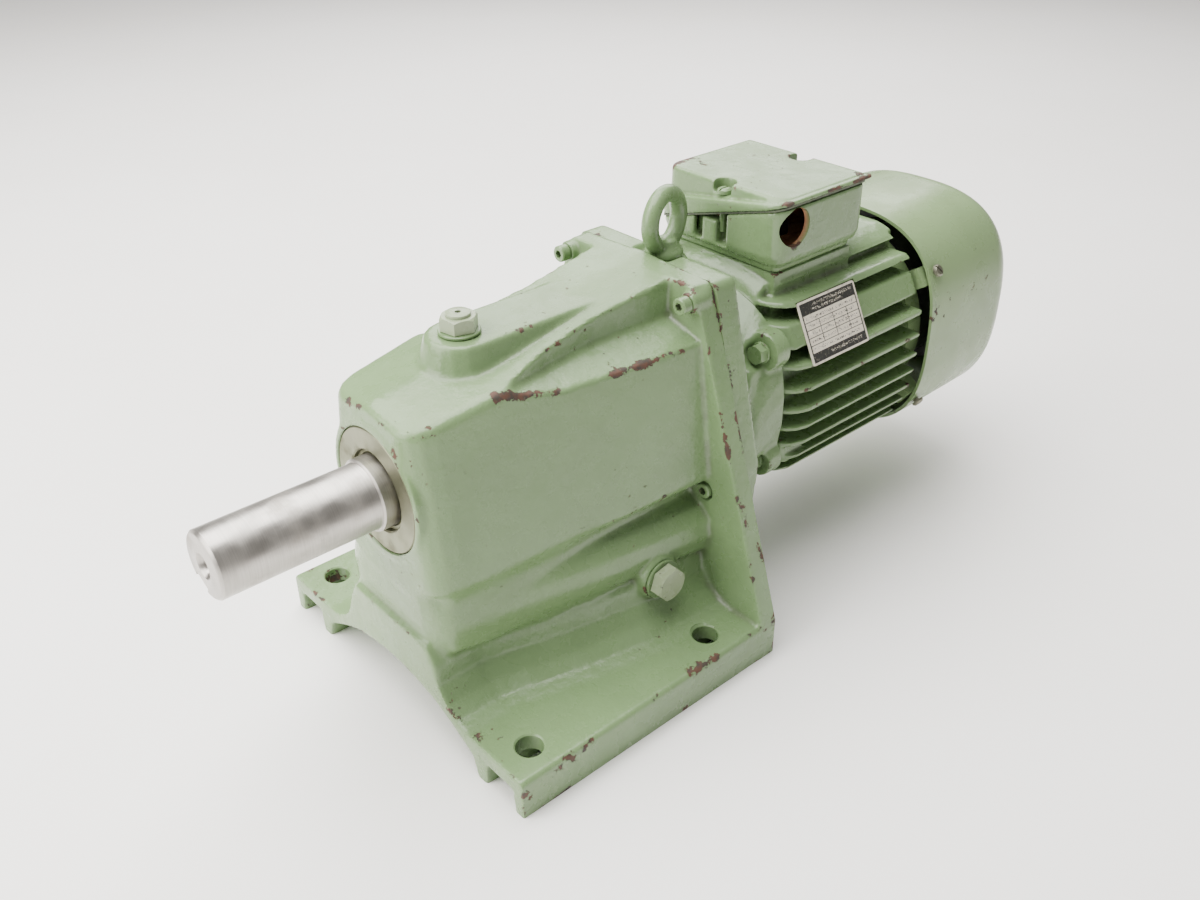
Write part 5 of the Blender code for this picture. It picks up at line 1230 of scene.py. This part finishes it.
@dataclass
class MotorShield:
    """The flange and drive end shield, its tie screws and the eye bolt."""

    flange_front: float = -0.00235
    shield_rear: float = 0.04285
    eye_seat: float = 0.1898
    eye_radius: float = 0.0135
    eye_rod: float = 0.0045
    eye_turn: float = math.radians(14)
    voxel: float = 0.0012
    scuffs: list[Scuff] = field(default_factory=lambda: [
        Scuff((-0.0018, -0.0474, 0.192), (-0.0018, -0.042, 0.1932), 0.004, 0.55),
        Scuff((0.0042, -0.0508, 0.1836), (0.001, -0.0515, 0.179), 0.0035, 0.5),
        Scuff((-0.001, 0.0356, 0.193), (-0.001, 0.03, 0.1934), 0.0035, 0.45),
        Scuff((-0.001, -0.058, 0.152), (-0.001, -0.062, 0.138), 0.0032, 0.5)])

    def build(self, yard: Yard) -> None:
        """Builds the casting, its screws and the eye bolt.

        Args:
            yard: dresses the pieces.
        """
        bm = Solid.copied("motor_shield")
        moved(bm, 0, self.flange_front, -0.004)
        moved(bm, 0, self.shield_rear, 0.004)
        shield = Shop.cast(Shop.item("shield_casting", bm), self.voxel, 3)
        Shop.cut(shield, [Solid.slab(-0.03, self.flange_front),
                          Solid.slab(self.shield_rear, self.shield_rear + 0.02)])
        Shop.wear(shield, self.scuffs)
        yard.dress(shield, Look.MOTOR, Body.HOUSING, ("motor_shield",))
        for number in range(1, 5):
            self.tie_screw(yard, number)
        self.eye_bolt(yard)

    def tie_screw(self, yard: Yard, number: int) -> None:
        """A hexagon screw on its spring washer.

        Args:
            yard: dresses the piece.
            number: which of the four.
        """
        node = f"tie_screw_{number}"
        top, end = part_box(node)[0][0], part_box(node)[1][0]
        at = centre(node)
        seat = top + 0.0061
        head = Shop.item(f"tie_screw_head_{number}", Solid.rod(top, seat - 0.0015, 0.0055, 6, phase=0.4))
        dome = Solid.spun([(top - 0.0002, 0), (top - 0.0002, 0.0046), (top + 0.0008, 0.0057), (seat, 0.0062),
                           (seat, 0)], 40, False)
        Shop.cut(head, [dome], "INTERSECT")
        washer = Solid.spun([(seat - 0.0016, 0.0030), (seat - 0.0016, 0.0054), (seat - 0.0013, 0.0057),
                             (seat - 0.0003, 0.0057), (seat, 0.0054), (seat, 0.0030)], 40)
        Shop.cut(head, [washer, Solid.rod(seat - 0.002, end, 0.0030, 24)], "UNION")
        Shop.put(head, (0, at.y, at.z))
        yard.fasten(head, Look.FASTENER, node)

    def eye_bolt(self, yard: Yard) -> None:
        """The forged lifting eye.

        Args:
            yard: dresses the piece.
        """
        at = centre("eye_bolt")
        ring = Solid.spun([(self.eye_rod * math.sin(a), self.eye_radius + self.eye_rod * math.cos(a))
                           for a in (2 * math.pi * k / 24 for k in range(24))], 64)
        Solid.turned(ring, math.radians(90) + self.eye_turn, "Z")
        Solid.shifted(ring, (at.x, 0, self.eye_seat + 0.0182))
        collar = Solid.spun([(0, 0), (0, 0.0096), (0.0010, 0.0100), (0.0030, 0.0098), (0.0060, 0.0072),
                             (0.0085, 0.0060), (0.0085, 0)], 48, False)
        shank = Solid.rod(-0.010, 0.002, 0.004, 24)
        parts = [ring, *(Solid.placed(part, (at.x, 0, self.eye_seat), UP) for part in (collar, shank))]
        piece = Shop.cast(Shop.item("lifting_eye", Solid.joined(parts)), 0.0006, 5)
        Shop.wear(piece, [Scuff((at.x - 0.004, 0.0170, 0.1990), (at.x - 0.004, 0.0172, 0.2080), 0.0050, 0.62),
                          Scuff((at.x - 0.003, 0.0130, 0.2200), (at.x - 0.002, 0.0060, 0.2245), 0.0060, 0.72),
                          Scuff((at.x, -0.0100, 0.2215), (at.x, -0.0120, 0.2190), 0.0040, 0.55)])
        yard.dress(piece, Look.MOTOR, Body.HOUSING, ("eye_bolt",), 180)


@dataclass
class Motor:
    """The finned housing, the rating plate and the fan cover.

    Each of the fins has its height over the axis, its half thickness, its root and its tip. rail has the
    outer (y, z) of the low and high edge of the rail beside the terminal box, and squareness is the
    power of the housing's and cover's rounded-square outline.
    """

    front: float = 0.04315
    rear: float = 0.15665
    axis: float = MOTOR_HEIGHT
    barrel: float = 0.051
    bore: float = 0.0463
    envelope: float = 0.065
    lower_fin: float = 0.0014
    lower_fin_pitch: float = 0.0125
    voxel: float = 0.00095
    cover_front: float = 0.16015
    cover_rear: float = 0.25015
    cover_half: float = 0.0673
    wall: float = 0.0018
    round: float = 0.022
    squareness: float = 2.78
    grille_bar: float = 0.005
    grille_slot: float = 0.0055
    plate_size: tuple[float, float] = (0.046, 0.034)
    plate_tilt: float = math.radians(26.6)
    fins: list[tuple[float, float, float, float]] = field(default_factory=lambda: [
        (0.0596, 0.0012, 0.025, 0.060), (0.0509, 0.0014, 0.031, 0.075), (0.0210, 0.0015, 0.031, 0.075),
        (0.0075, 0.0014, 0.031, 0.075), (-0.0048, 0.0014, 0.031, 0.075), (-0.0158, 0.0014, 0.031, 0.075),
        (-0.0264, 0.0014, 0.031, 0.075), (-0.0362, 0.0014, 0.031, 0.075), (-0.0470, 0.0014, 0.010, 0.075)])
    rail: tuple[tuple[float, float], tuple[float, float]] = ((0.0593, 0.1435), (0.0533, 0.1555))

    def build(self, yard: Yard) -> None:
        """Builds the housing, plate, cover and cover screws.

        Args:
            yard: dresses the pieces.
        """
        self.housing(yard)
        self.plate(yard)
        self.cover(yard)
        self.cover_screws(yard)

    def housing(self, yard: Yard) -> None:
        """The finned casting.

        Args:
            yard: dresses the piece.
        """
        low, high, fin_end = self.front - 0.003, self.rear + 0.003, self.rear - 0.0028
        envelope = Solid.spun([(low, 0.0), (low, 0.0535), (self.front, 0.055), (self.front + 0.003, 0.0595),
                               (self.front + 0.008, 0.063), (self.front + 0.015, self.envelope),
                               (high, self.envelope), (high, 0.0)], 96, False)
        self.warp(envelope)
        Solid.shifted(envelope, (0, 0, self.axis))
        barrel = Solid.placed(Solid.rod(low, high, self.barrel, 96), (0, 0, self.axis))
        housing = Shop.item("finned_housing", barrel)
        bodies = []
        for offset, half, root, tip in self.fins:
            z = self.axis + offset
            for side in (-1, 1):
                y_low, y_high = sorted((side * root, side * tip))
                bodies.append(Solid.block((low, y_low, z - half), (fin_end, y_high, z + half)))
        for k in range(-2, 3):
            y = k * self.lower_fin_pitch
            bodies.append(Solid.block((low, y - self.lower_fin, self.axis - 0.075),
                                      (fin_end, y + self.lower_fin, self.axis - 0.030)))
        (y_low, z_low), (y_high, z_high) = self.rail
        for side in (-1, 1):
            root = side * 0.030
            bodies.append(Solid.loft([[(x, side * y_low, z_low), (x, side * y_high, z_high),
                                       (x, root, z_high), (x, root, z_low)] for x in (low, fin_end)]))
            y, z = side * 0.048, self.axis - 0.032
            bodies.append(Solid.block((low, y - 0.0085, z - 0.0075),
                                      (self.front + 0.022, y + 0.0085, z + 0.0075)))
        bodies.append(Solid.block((low, -0.034, self.axis + 0.030), (high, 0.034, 0.177)))
        Shop.cut(housing, bodies, "UNION")
        Shop.cut(housing, [envelope], "INTERSECT")
        Shop.cut(housing, [Solid.block((0.0527, -0.038, 0.1535), (0.1147, 0.038, 0.1783))], "UNION")
        (width, height), room = self.plate_size, 0.0006
        seat = Solid.block((-room, -0.02, -height / 2 - room), (width + room, 0.0010, height / 2 + room))
        Solid.turned(seat, -self.plate_tilt)
        Solid.shifted(seat, (self.front + 0.0145, -0.0576, 0.1494))
        Shop.cast(housing, self.voxel, 2)
        duct = Solid.placed(Solid.rod(0.15, 0.19, WIRE_DUCT_RADIUS, 32), (WIRE_DUCT_X, 0, 0), UP)
        Shop.cut(housing, [seat, Solid.placed(Solid.rod(0.0, 0.3, self.bore, 96), (0, 0, self.axis)), duct])
        Shop.cut(housing, [Solid.slab(0.0, self.front), Solid.slab(self.rear, self.rear + 0.02)])
        Shop.wear(housing, reach=2)
        yard.dress(housing, Look.MOTOR, Body.HOUSING, ("stator_housing",))

    def plate(self, yard: Yard) -> None:
        """The rating plate with its two rivets.

        Args:
            yard: dresses the piece.
        """
        width, height = self.plate_size
        bm = Solid.block((0, 0, -height / 2), (width, 0.0008, height / 2))
        ends = {edge: edge.verts[0].co - edge.verts[1].co for edge in bm.edges}
        corners = [edge for edge, line in ends.items() if abs(line.normalized().y) > 0.9]
        Solid.bevelled(bm, corners, 0.0014, 3)
        for u in (0.0046, width - 0.0046):
            rivet = Solid.spun([(-0.0002, 0), (-0.0002, 0.0013), (0.0003, 0.0012), (0.0006, 0.0007),
                                (0.0007, 0)], 20, False)
            bm = Solid.joined([bm, Solid.placed(rivet, (u, 0, 0), NEAR)])
        layer = bm.loops.layers.uv.new("plate")
        for face in bm.faces:
            for loop in face.loops:
                point = loop.vert.co
                loop[layer].uv = (point.x / width, point.z / height + 0.5)
        Solid.turned(bm, -self.plate_tilt)
        at = centre("rating_plate")
        at.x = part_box("rating_plate")[0][0]
        inward = Vector((0, math.cos(self.plate_tilt), -math.sin(self.plate_tilt))) * 0.0004
        piece = Shop.item("rating_plate_print", Solid.shifted(bm, at - inward))
        yard.dress(piece, Look.PLATE, Body.HOUSING, ("rating_plate",))

    def warp(self, bm: bmesh.types.BMesh) -> None:
        """Squares a round body up about the X axis.

        Args:
            bm: the bmesh.
        """
        power = self.squareness
        for vert in bm.verts:
            radius = math.hypot(vert.co.y, vert.co.z)
            if radius > 1e-6:
                c, s = abs(vert.co.y) / radius, abs(vert.co.z) / radius
                stretch = (c ** power + s ** power) ** (-1 / power)
                vert.co.y *= stretch
                vert.co.z *= stretch

    def cover(self, yard: Yard) -> None:
        """The sheet metal fan cover with its grille.

        Args:
            yard: dresses the piece.
        """
        half, radius, wall = self.cover_half, self.round, self.wall
        straight, depth, taper = self.cover_rear - radius, radius - wall, 0.001
        outer = [(self.cover_front, half), (self.cover_front + 0.03, half - 0.0004), (straight, half - taper)]
        inner = [(self.cover_front, half - wall), (straight, half - taper - wall)]
        for k in range(1, 13):
            a = math.radians(90 * k / 12)
            fall = 1 - math.cos(a)
            outer.append((straight + radius * math.sin(a), half - taper - radius * fall))
            inner.append((straight + depth * math.sin(a), half - taper - wall - depth * fall))
        outer += [(self.cover_rear, 0.03), (self.cover_rear, 0.0)]
        inner += [(self.cover_rear - wall, 0.03), (self.cover_rear - wall, 0.0)]
        bm = Solid.spun(outer + inner[::-1], 128)
        self.warp(bm)
        cover = Shop.item("fan_cover_sheet", Solid.shifted(bm, (0, 0, self.axis)))
        Shop.cut(cover, [self.slot(ring, quarter) for ring in range(3) for quarter in range(4)])
        rim = self.cover_front + 0.0005
        scuffs = [Scuff((rim, -0.0665, 0.140), (rim, -0.0665, 0.128), 0.0030, 0.45),
                  Scuff((rim, -0.0610, 0.162), (rim, -0.0570, 0.168), 0.0030, 0.40)]
        Shop.wear(cover, scuffs, reach=1, gain=0.3)
        yard.dress(cover, Look.COVER, Body.HOUSING, ("fan_cover",))

    def slot(self, ring: int, quarter: int) -> bmesh.types.BMesh:
        """The cutter of one curved slot of the grille.

        Args:
            ring: its ring, from the middle out.
            quarter: its place round the ring.

        Returns:
            The cutter.
        """
        radius = 0.014 + ring * 0.011
        gap = self.grille_bar / radius
        bm = bmesh.new()
        bmesh.ops.create_grid(bm, x_segments=1, y_segments=1, size=0.5,
                              matrix=Matrix.Diagonal((0.02, self.grille_slot, 1, 1)))
        Solid.turned(bm, math.radians(90))
        Solid.shifted(bm, (self.cover_rear, 0, radius))
        bmesh.ops.spin(bm, geom=bm.verts[:] + bm.edges[:] + bm.faces[:], cent=(0, 0, 0), axis=(1, 0, 0),
                       angle=math.pi / 2 - gap, steps=16, use_merge=False)
        Solid.turned(bm, math.radians(45 + 90 * quarter) + gap / 2)
        Solid.shifted(bm, (0, 0, self.axis))
        bmesh.ops.remove_doubles(bm, verts=bm.verts, dist=1e-7)
        bmesh.ops.recalc_face_normals(bm, faces=bm.faces)
        return bm

    def cover_screws(self, yard: Yard) -> None:
        """Four slotted screws that hold the cover.

        Args:
            yard: dresses the pieces.
        """
        for number in range(1, 5):
            node = f"fan_cover_screw_{number}"
            at = centre(node)
            low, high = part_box(node)
            out = Vector((0, at.y, at.z - self.axis)).normalized()
            y, z = high[1] if out.y > 0 else low[1], high[2] if out.z > 0 else low[2]
            reach = Vector((0, y, z - self.axis)).dot(out) - 0.0017
            root, seat, shank = 0.056, reach - 0.0022, 0.0018
            head = Solid.spun([(root, 0), (root, shank), (seat, shank), (seat, 0.0036),
                               (reach - 0.0010, 0.0035), (reach - 0.0002, 0.0026), (reach, 0.0012),
                               (reach, 0)], 32, False)
            piece = Shop.item(f"cover_screw_{number}", head)
            Shop.cut(piece, [Solid.block((reach - 0.0009, -0.0004, -0.006), (reach + 0.002, 0.0004, 0.006))])
            Shop.put(piece, (at.x, 0, self.axis), out)
            yard.fasten(piece, Look.ZINC, node)


@dataclass
class TerminalBox:
    """The terminal box, its lid and the lid screws.

    parting is the height of the sloping joint between box and lid over the middle, and slope is its
    fall for each metre of y.
    """

    front: float = 0.04765
    rear: float = 0.11965
    half: float = 0.043
    floor: float = 0.1785
    top: float = 0.2180
    parting: float = 0.2012
    slope: float = 0.29
    corner: float = 0.010
    hole: float = 0.0102
    hole_height: float = 0.20287
    voxel: float = 0.0008
    scuffs: list[Scuff] = field(default_factory=lambda: [
        Scuff((0.0515, 0.0385, 0.2178), (0.068, 0.04, 0.2178), 0.0046, 0.8),
        Scuff((0.0505, -0.0119, 0.2191), (0.0505, -0.0187, 0.2188), 0.0032, 0.6),
        Scuff((0.0505, -0.0385, 0.2187), (0.055, -0.0425, 0.2172), 0.0034, 0.62),
        Scuff((0.1149, -0.04, 0.218), (0.119, -0.0425, 0.2165), 0.005, 0.7),
        Scuff((0.119, -0.03, 0.218), (0.119, -0.01, 0.218), 0.003, 0.45),
        Scuff((0.07, 0.0415, 0.218), (0.0653, 0.0262, 0.216), 0.0036, 0.5)])

    def build(self, yard: Yard) -> None:
        """Builds the box and lid.

        Args:
            yard: dresses the pieces.
        """
        self.casting(yard)
        self.lid(yard)
        for number in (1, 2):
            self.lid_screw(yard, number)

    def outline(self, inset: float, front: float = 0.0, rear: float = 0.0, rear_corner: float = 0.010
                ) -> Outline:
        """The box's rounded footprint.

        Args:
            inset: how far it lies inside the outer wall.
            front: further inset of its front.
            rear: further inset of its rear.
            rear_corner: radius of the two rear corners.

        Returns:
            Its (x, y) points.
        """
        x_low, x_high, half = self.front + inset + front, self.rear - inset - rear, self.half - inset
        near, far = max(self.corner - inset, 0.0015), max(rear_corner - inset, 0.0015)
        return Solid.rounded([(x_low, -half, near), (x_high, -half, far), (x_high, half, far),
                              (x_low, half, near)])

    @staticmethod
    def level(outline: Outline, height: float, slope: float = 0.0) -> list[Point]:
        """A ring of the footprint at a height that falls towards the far side.

        Args:
            outline: (x, y) points.
            height: height over the middle.
            slope: fall for each metre of y.

        Returns:
            The ring.
        """
        return [(x, y, height - slope * y) for x, y in outline]

    def inner(self, obj: bpy.types.Object) -> None:
        """Marks the faces inside the box, which are lined in another colour.

        Args:
            obj: the piece.
        """
        x, y, z = Shop.rows(obj.data.vertices, "co", 3).T
        middle, reach = (self.front + self.rear) / 2, (self.rear - self.front) / 2 - self.corner
        over_x, over_y = np.abs(x - middle) - reach, np.abs(y) - (self.half - self.corner)
        outside = np.hypot(np.maximum(over_x, 0), np.maximum(over_y, 0))
        outside += np.minimum(np.maximum(over_x, over_y), 0)
        inside = (outside < self.corner - 0.0018) & (z > self.floor + 0.0075) & (z < self.top - 0.0015)
        inside &= ~((x < self.front + 0.0085) & (np.abs(y - 0.004) < 0.016))
        Shop.mark(obj.data, "inside", inside)

    def casting(self, yard: Yard) -> None:
        """The box with its open cable hole and the recess in its front.

        Args:
            yard: dresses the piece.
        """
        floor_top = self.floor + 0.0055
        skin = ((0.005, self.floor), (0.0045, floor_top - 0.002), (0.0015, floor_top),
                (0.0, floor_top + 0.004))
        wall = [self.level(self.outline(inset), height) for inset, height in skin]
        wall.append(self.level(self.outline(0.0), self.parting, self.slope))
        box = Shop.item("terminal_box_casting", Solid.loft(wall))
        room = self.outline(0.0035)
        Shop.cut(box, [Solid.loft([self.level(room, floor_top + 0.0035), self.level(room, 0.25)])])
        back = self.front + 0.0070
        posts = [Solid.block((back - 0.0015, -0.0105, floor_top + 0.0005), (back + 0.003, 0.0185, 0.1955))]
        for x_low, x_high, y_low in ((self.front + 0.0012, self.front + 0.0115, 0.0005),
                                     (self.rear - 0.0115, self.rear - 0.001, -0.005)):
            ring = [(x_low, y_low), (x_high, y_low), (x_high, y_low + 0.0105), (x_low, y_low + 0.0105)]
            posts.append(Solid.loft([self.level(ring, z) for z in (floor_top + 0.0006, 0.1975)]))
        recess = Solid.block((self.front - 0.01, -0.0075, floor_top + 0.0012), (back, 0.0155, 0.25))
        cable = Solid.placed(Solid.rod(0.030, 0.055, self.hole, 64),
                             (self.front + 0.0135, 0, self.hole_height), NEAR)
        Shop.cut(box, posts[:1], "UNION")
        Shop.cut(box, [recess])
        Shop.cut(box, posts[1:], "UNION")
        Shop.cast(box, self.voxel, 3)
        around = [(0.0, -0.1), (0.2, -0.1), (0.2, 0.1), (0.0, 0.1)]
        above = Solid.loft([self.level(around, self.parting + rise, self.slope) for rise in (0.0, 0.08)])
        duct = Solid.placed(Solid.rod(0.170, 0.190, WIRE_DUCT_RADIUS, 32), (WIRE_DUCT_X, 0, 0), UP)
        Shop.cut(box, [cable, above, duct])
        Shop.wear(box, [Scuff((self.front + 0.020, -self.half, 0.194),
                              (self.front + 0.012, -self.half, 0.192), 0.003, 0.4)])
        self.inner(box)
        yard.dress(box, Look.MOTOR, Body.HOUSING, ("terminal_box",))

    def lid(self, yard: Yard) -> None:
        """The lid: a sloping flange and a raised, level top with a scallop at each screw.

        Args:
            yard: dresses the piece.
        """
        flange, fall, under = 0.2100, 0.176, self.parting + 0.0016
        brim = self.outline(-0.0008, rear=-0.001, rear_corner=0.003)
        low = Solid.loft([self.level(brim, under, self.slope), self.level(brim, flange - 0.001, fall),
                          self.level(self.outline(0.0004, rear=-0.001, rear_corner=0.003), flange, fall)])
        raised = Solid.loft([self.level(self.outline(0.0010, 0.0019, 0.0, 0.004), under + 0.0004, self.slope),
                             self.level(self.outline(0.0016, 0.0025, 0.0, 0.004), self.top - 0.0012),
                             self.level(self.outline(0.0032, 0.0025, 0.0, 0.004), self.top)])
        lid = Shop.item("terminal_lid_casting", low)
        Shop.cut(lid, [raised], "UNION")
        hollow = Solid.loft([self.level(self.outline(0.0045, 0.010, 0.010), 0.16),
                             self.level(self.outline(0.0055, 0.010, 0.010), self.top - 0.003)])
        cutters = [hollow]
        for number, outward in ((1, -1), (2, 1)):
            at = centre(f"lid_screw_{number}")
            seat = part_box(f"lid_screw_{number}")[1][2] - 0.0030
            cutters.append(Solid.placed(Solid.rod(seat, seat + 0.02, 0.0062, 40), (at.x, at.y, 0), UP))
            x_low, x_high = sorted((at.x, at.x + outward * 0.012))
            cutters.append(Solid.block((x_low, at.y - 0.0056, seat + 0.0001),
                                       (x_high, at.y + 0.0056, seat + 0.021)))
        Shop.cut(lid, cutters)
        Shop.cast(lid, self.voxel, 2)
        Shop.wear(lid, self.scuffs)
        yard.dress(lid, Look.LID, Body.HOUSING, ("terminal_lid",))

    def lid_screw(self, yard: Yard, number: int) -> None:
        """A round head screw with a slot.

        Args:
            yard: dresses the piece.
            number: which of the two.
        """
        node = f"lid_screw_{number}"
        end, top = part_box(node)[0][2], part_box(node)[1][2]
        at = centre(node)
        seat, shank = top - 0.0027, 0.002
        head = Solid.spun([(end, 0), (end, shank), (seat, shank), (seat, 0.0039), (top - 0.0008, 0.0037),
                           (top, 0.0024), (top, 0)], 32, False)
        piece = Shop.item(f"lid_screw_head_{number}", head)
        Shop.cut(piece, [Solid.block((top - 0.0010, -0.0005, -0.006), (top + 0.002, 0.0005, 0.006))])
        Shop.put(piece, (at.x, at.y, 0), UP)
        yard.fasten(piece, Look.FASTENER, node)


@dataclass
class InnerParts:
    """The parts inside, which keep their CAD shapes."""

    looks: dict[Look, tuple[str, ...]] = field(default_factory=lambda: {
        Look.GROUND: ("output_wheel", "layshaft", "layshaft_wheel", "motor_shaft", "motor_pinion",
                      "output_bearing_front", "output_bearing_rear", "layshaft_bearing_front",
                      "layshaft_bearing_rear", "motor_bearing_front", "motor_bearing_rear",
                      "brake_spring_1", "brake_spring_2", "brake_spring_3"),
        Look.DARK: ("output_wheel_key", "brake_hub", "brake_magnet", "brake_armature"),
        Look.CORE: ("rotor_core", "stator_core"),
        Look.COPPER: ("stator_winding", "brake_coil"),
        Look.RUBBER: ("motor_seal",),
        Look.GASKET_PAINTED_SHADE: ("terminal_gasket",),
        Look.PLASTIC: ("fan", "terminal_board"),
        Look.LINING: ("friction_disc",),
        Look.ZINC: ("brake_screw_1", "brake_screw_2", "brake_screw_3"),
        Look.COVER: ("brake_shield",),
    })

    def build(self, yard: Yard) -> None:
        """Gives every inner part its finish.

        Args:
            yard: dresses the nodes.
        """
        for look, nodes in self.looks.items():
            yard.carry_over(look, *nodes)


@dataclass
class Studio:
    """Floor, light and camera.

    camera_axes are the rows of the camera's turn, lens is its focal length in millimetres, and aim is
    the point that the lights face.
    """

    camera_at: Point = (-0.375465, -0.390885, 0.414123)
    camera_axes: tuple[Point, Point, Point] = ((0.7491577, 0.3551073, -0.5591615),
                                               (-0.6623322, 0.3902711, -0.6395346),
                                               (-0.0088788, 0.8494629, 0.5275736))
    lens: float = 34.6076
    room_light: float = 0.36
    aim: Point = (0.0, 0.0, 0.1)
    warm: Colour = (1.0, 0.975, 0.94)

    def build(self) -> None:
        """Builds the floor, the lights and the camera."""
        self.floor()
        self.lights()
        self.camera()

    def floor(self) -> None:
        """A pale, faintly uneven floor."""
        bm = bmesh.new()
        bmesh.ops.create_grid(bm, x_segments=1, y_segments=1, size=6.0)
        floor = Shop.item("studio_floor", bm)
        sheet = NodeSheet("pale_paper")
        tone = sheet.ramp(sheet.noise(2.2, 4, 0.6), 0.3, 0.7)
        sheet.set(Base_Color=sheet.mix(tone, (0.93, 0.915, 0.89), (0.96, 0.95, 0.935)), Roughness=0.6)
        floor.data.materials.append(sheet.material)

    def lights(self) -> None:
        """A pale room with soft lights above, to the left and at the rear."""
        world = bpy.data.worlds.new("pale_room")
        bpy.context.scene.world = world
        world.use_nodes = True
        background = world.node_tree.nodes["Background"]
        background.inputs["Color"].default_value = (*self.warm, 1.0)
        background.inputs["Strength"].default_value = self.room_light
        lamps = (("top_light", (-0.25, 0.35, 1.5), 1.6, 74.0, (1.0, 0.985, 0.96)),
                 ("left_light", (-1.3, 0.35, 0.75), 1.2, 31.0, self.warm),
                 ("rear_light", (0.9, 0.9, 1.1), 1.2, 22.0, (1.0, 0.98, 0.96)))
        for name, at, size, power, colour in lamps:
            lamp = bpy.data.lights.new(name, "AREA")
            lamp.size = size
            lamp.energy = power
            lamp.color = colour
            obj = bpy.data.objects.new(name, lamp)
            obj.location = at
            obj.rotation_euler = (Vector(self.aim) - Vector(at)).to_track_quat("-Z", "Y").to_euler()
            bpy.context.scene.collection.objects.link(obj)

    def camera(self) -> None:
        """The camera at the photograph's place."""
        lens = bpy.data.cameras.new("view")
        lens.sensor_width = 36.0
        lens.sensor_fit = "HORIZONTAL"
        lens.lens = self.lens
        lens.clip_start = 0.01
        obj = bpy.data.objects.new("view", lens)
        obj.matrix_world = Matrix.Translation(self.camera_at) @ Matrix(self.camera_axes).to_4x4()
        bpy.context.scene.collection.objects.link(obj)
        bpy.context.scene.camera = obj


def main() -> None:
    """Builds every sub-assembly in order."""
    logging.basicConfig(level=logging.INFO)
    for name in ("Cube", "Light", "Camera"):
        spare = bpy.data.objects.get(name)
        if spare is not None:
            bpy.data.objects.remove(spare)
    yard = Yard()
    InnerParts().build(yard)
    for part in (GearCase(), OutputDrive(), MotorShield(), Motor(), TerminalBox()):
        part.build(yard)
        LOG.info("%s done", type(part).__name__)
    Studio().build()


if __name__ == "__main__":
    main()
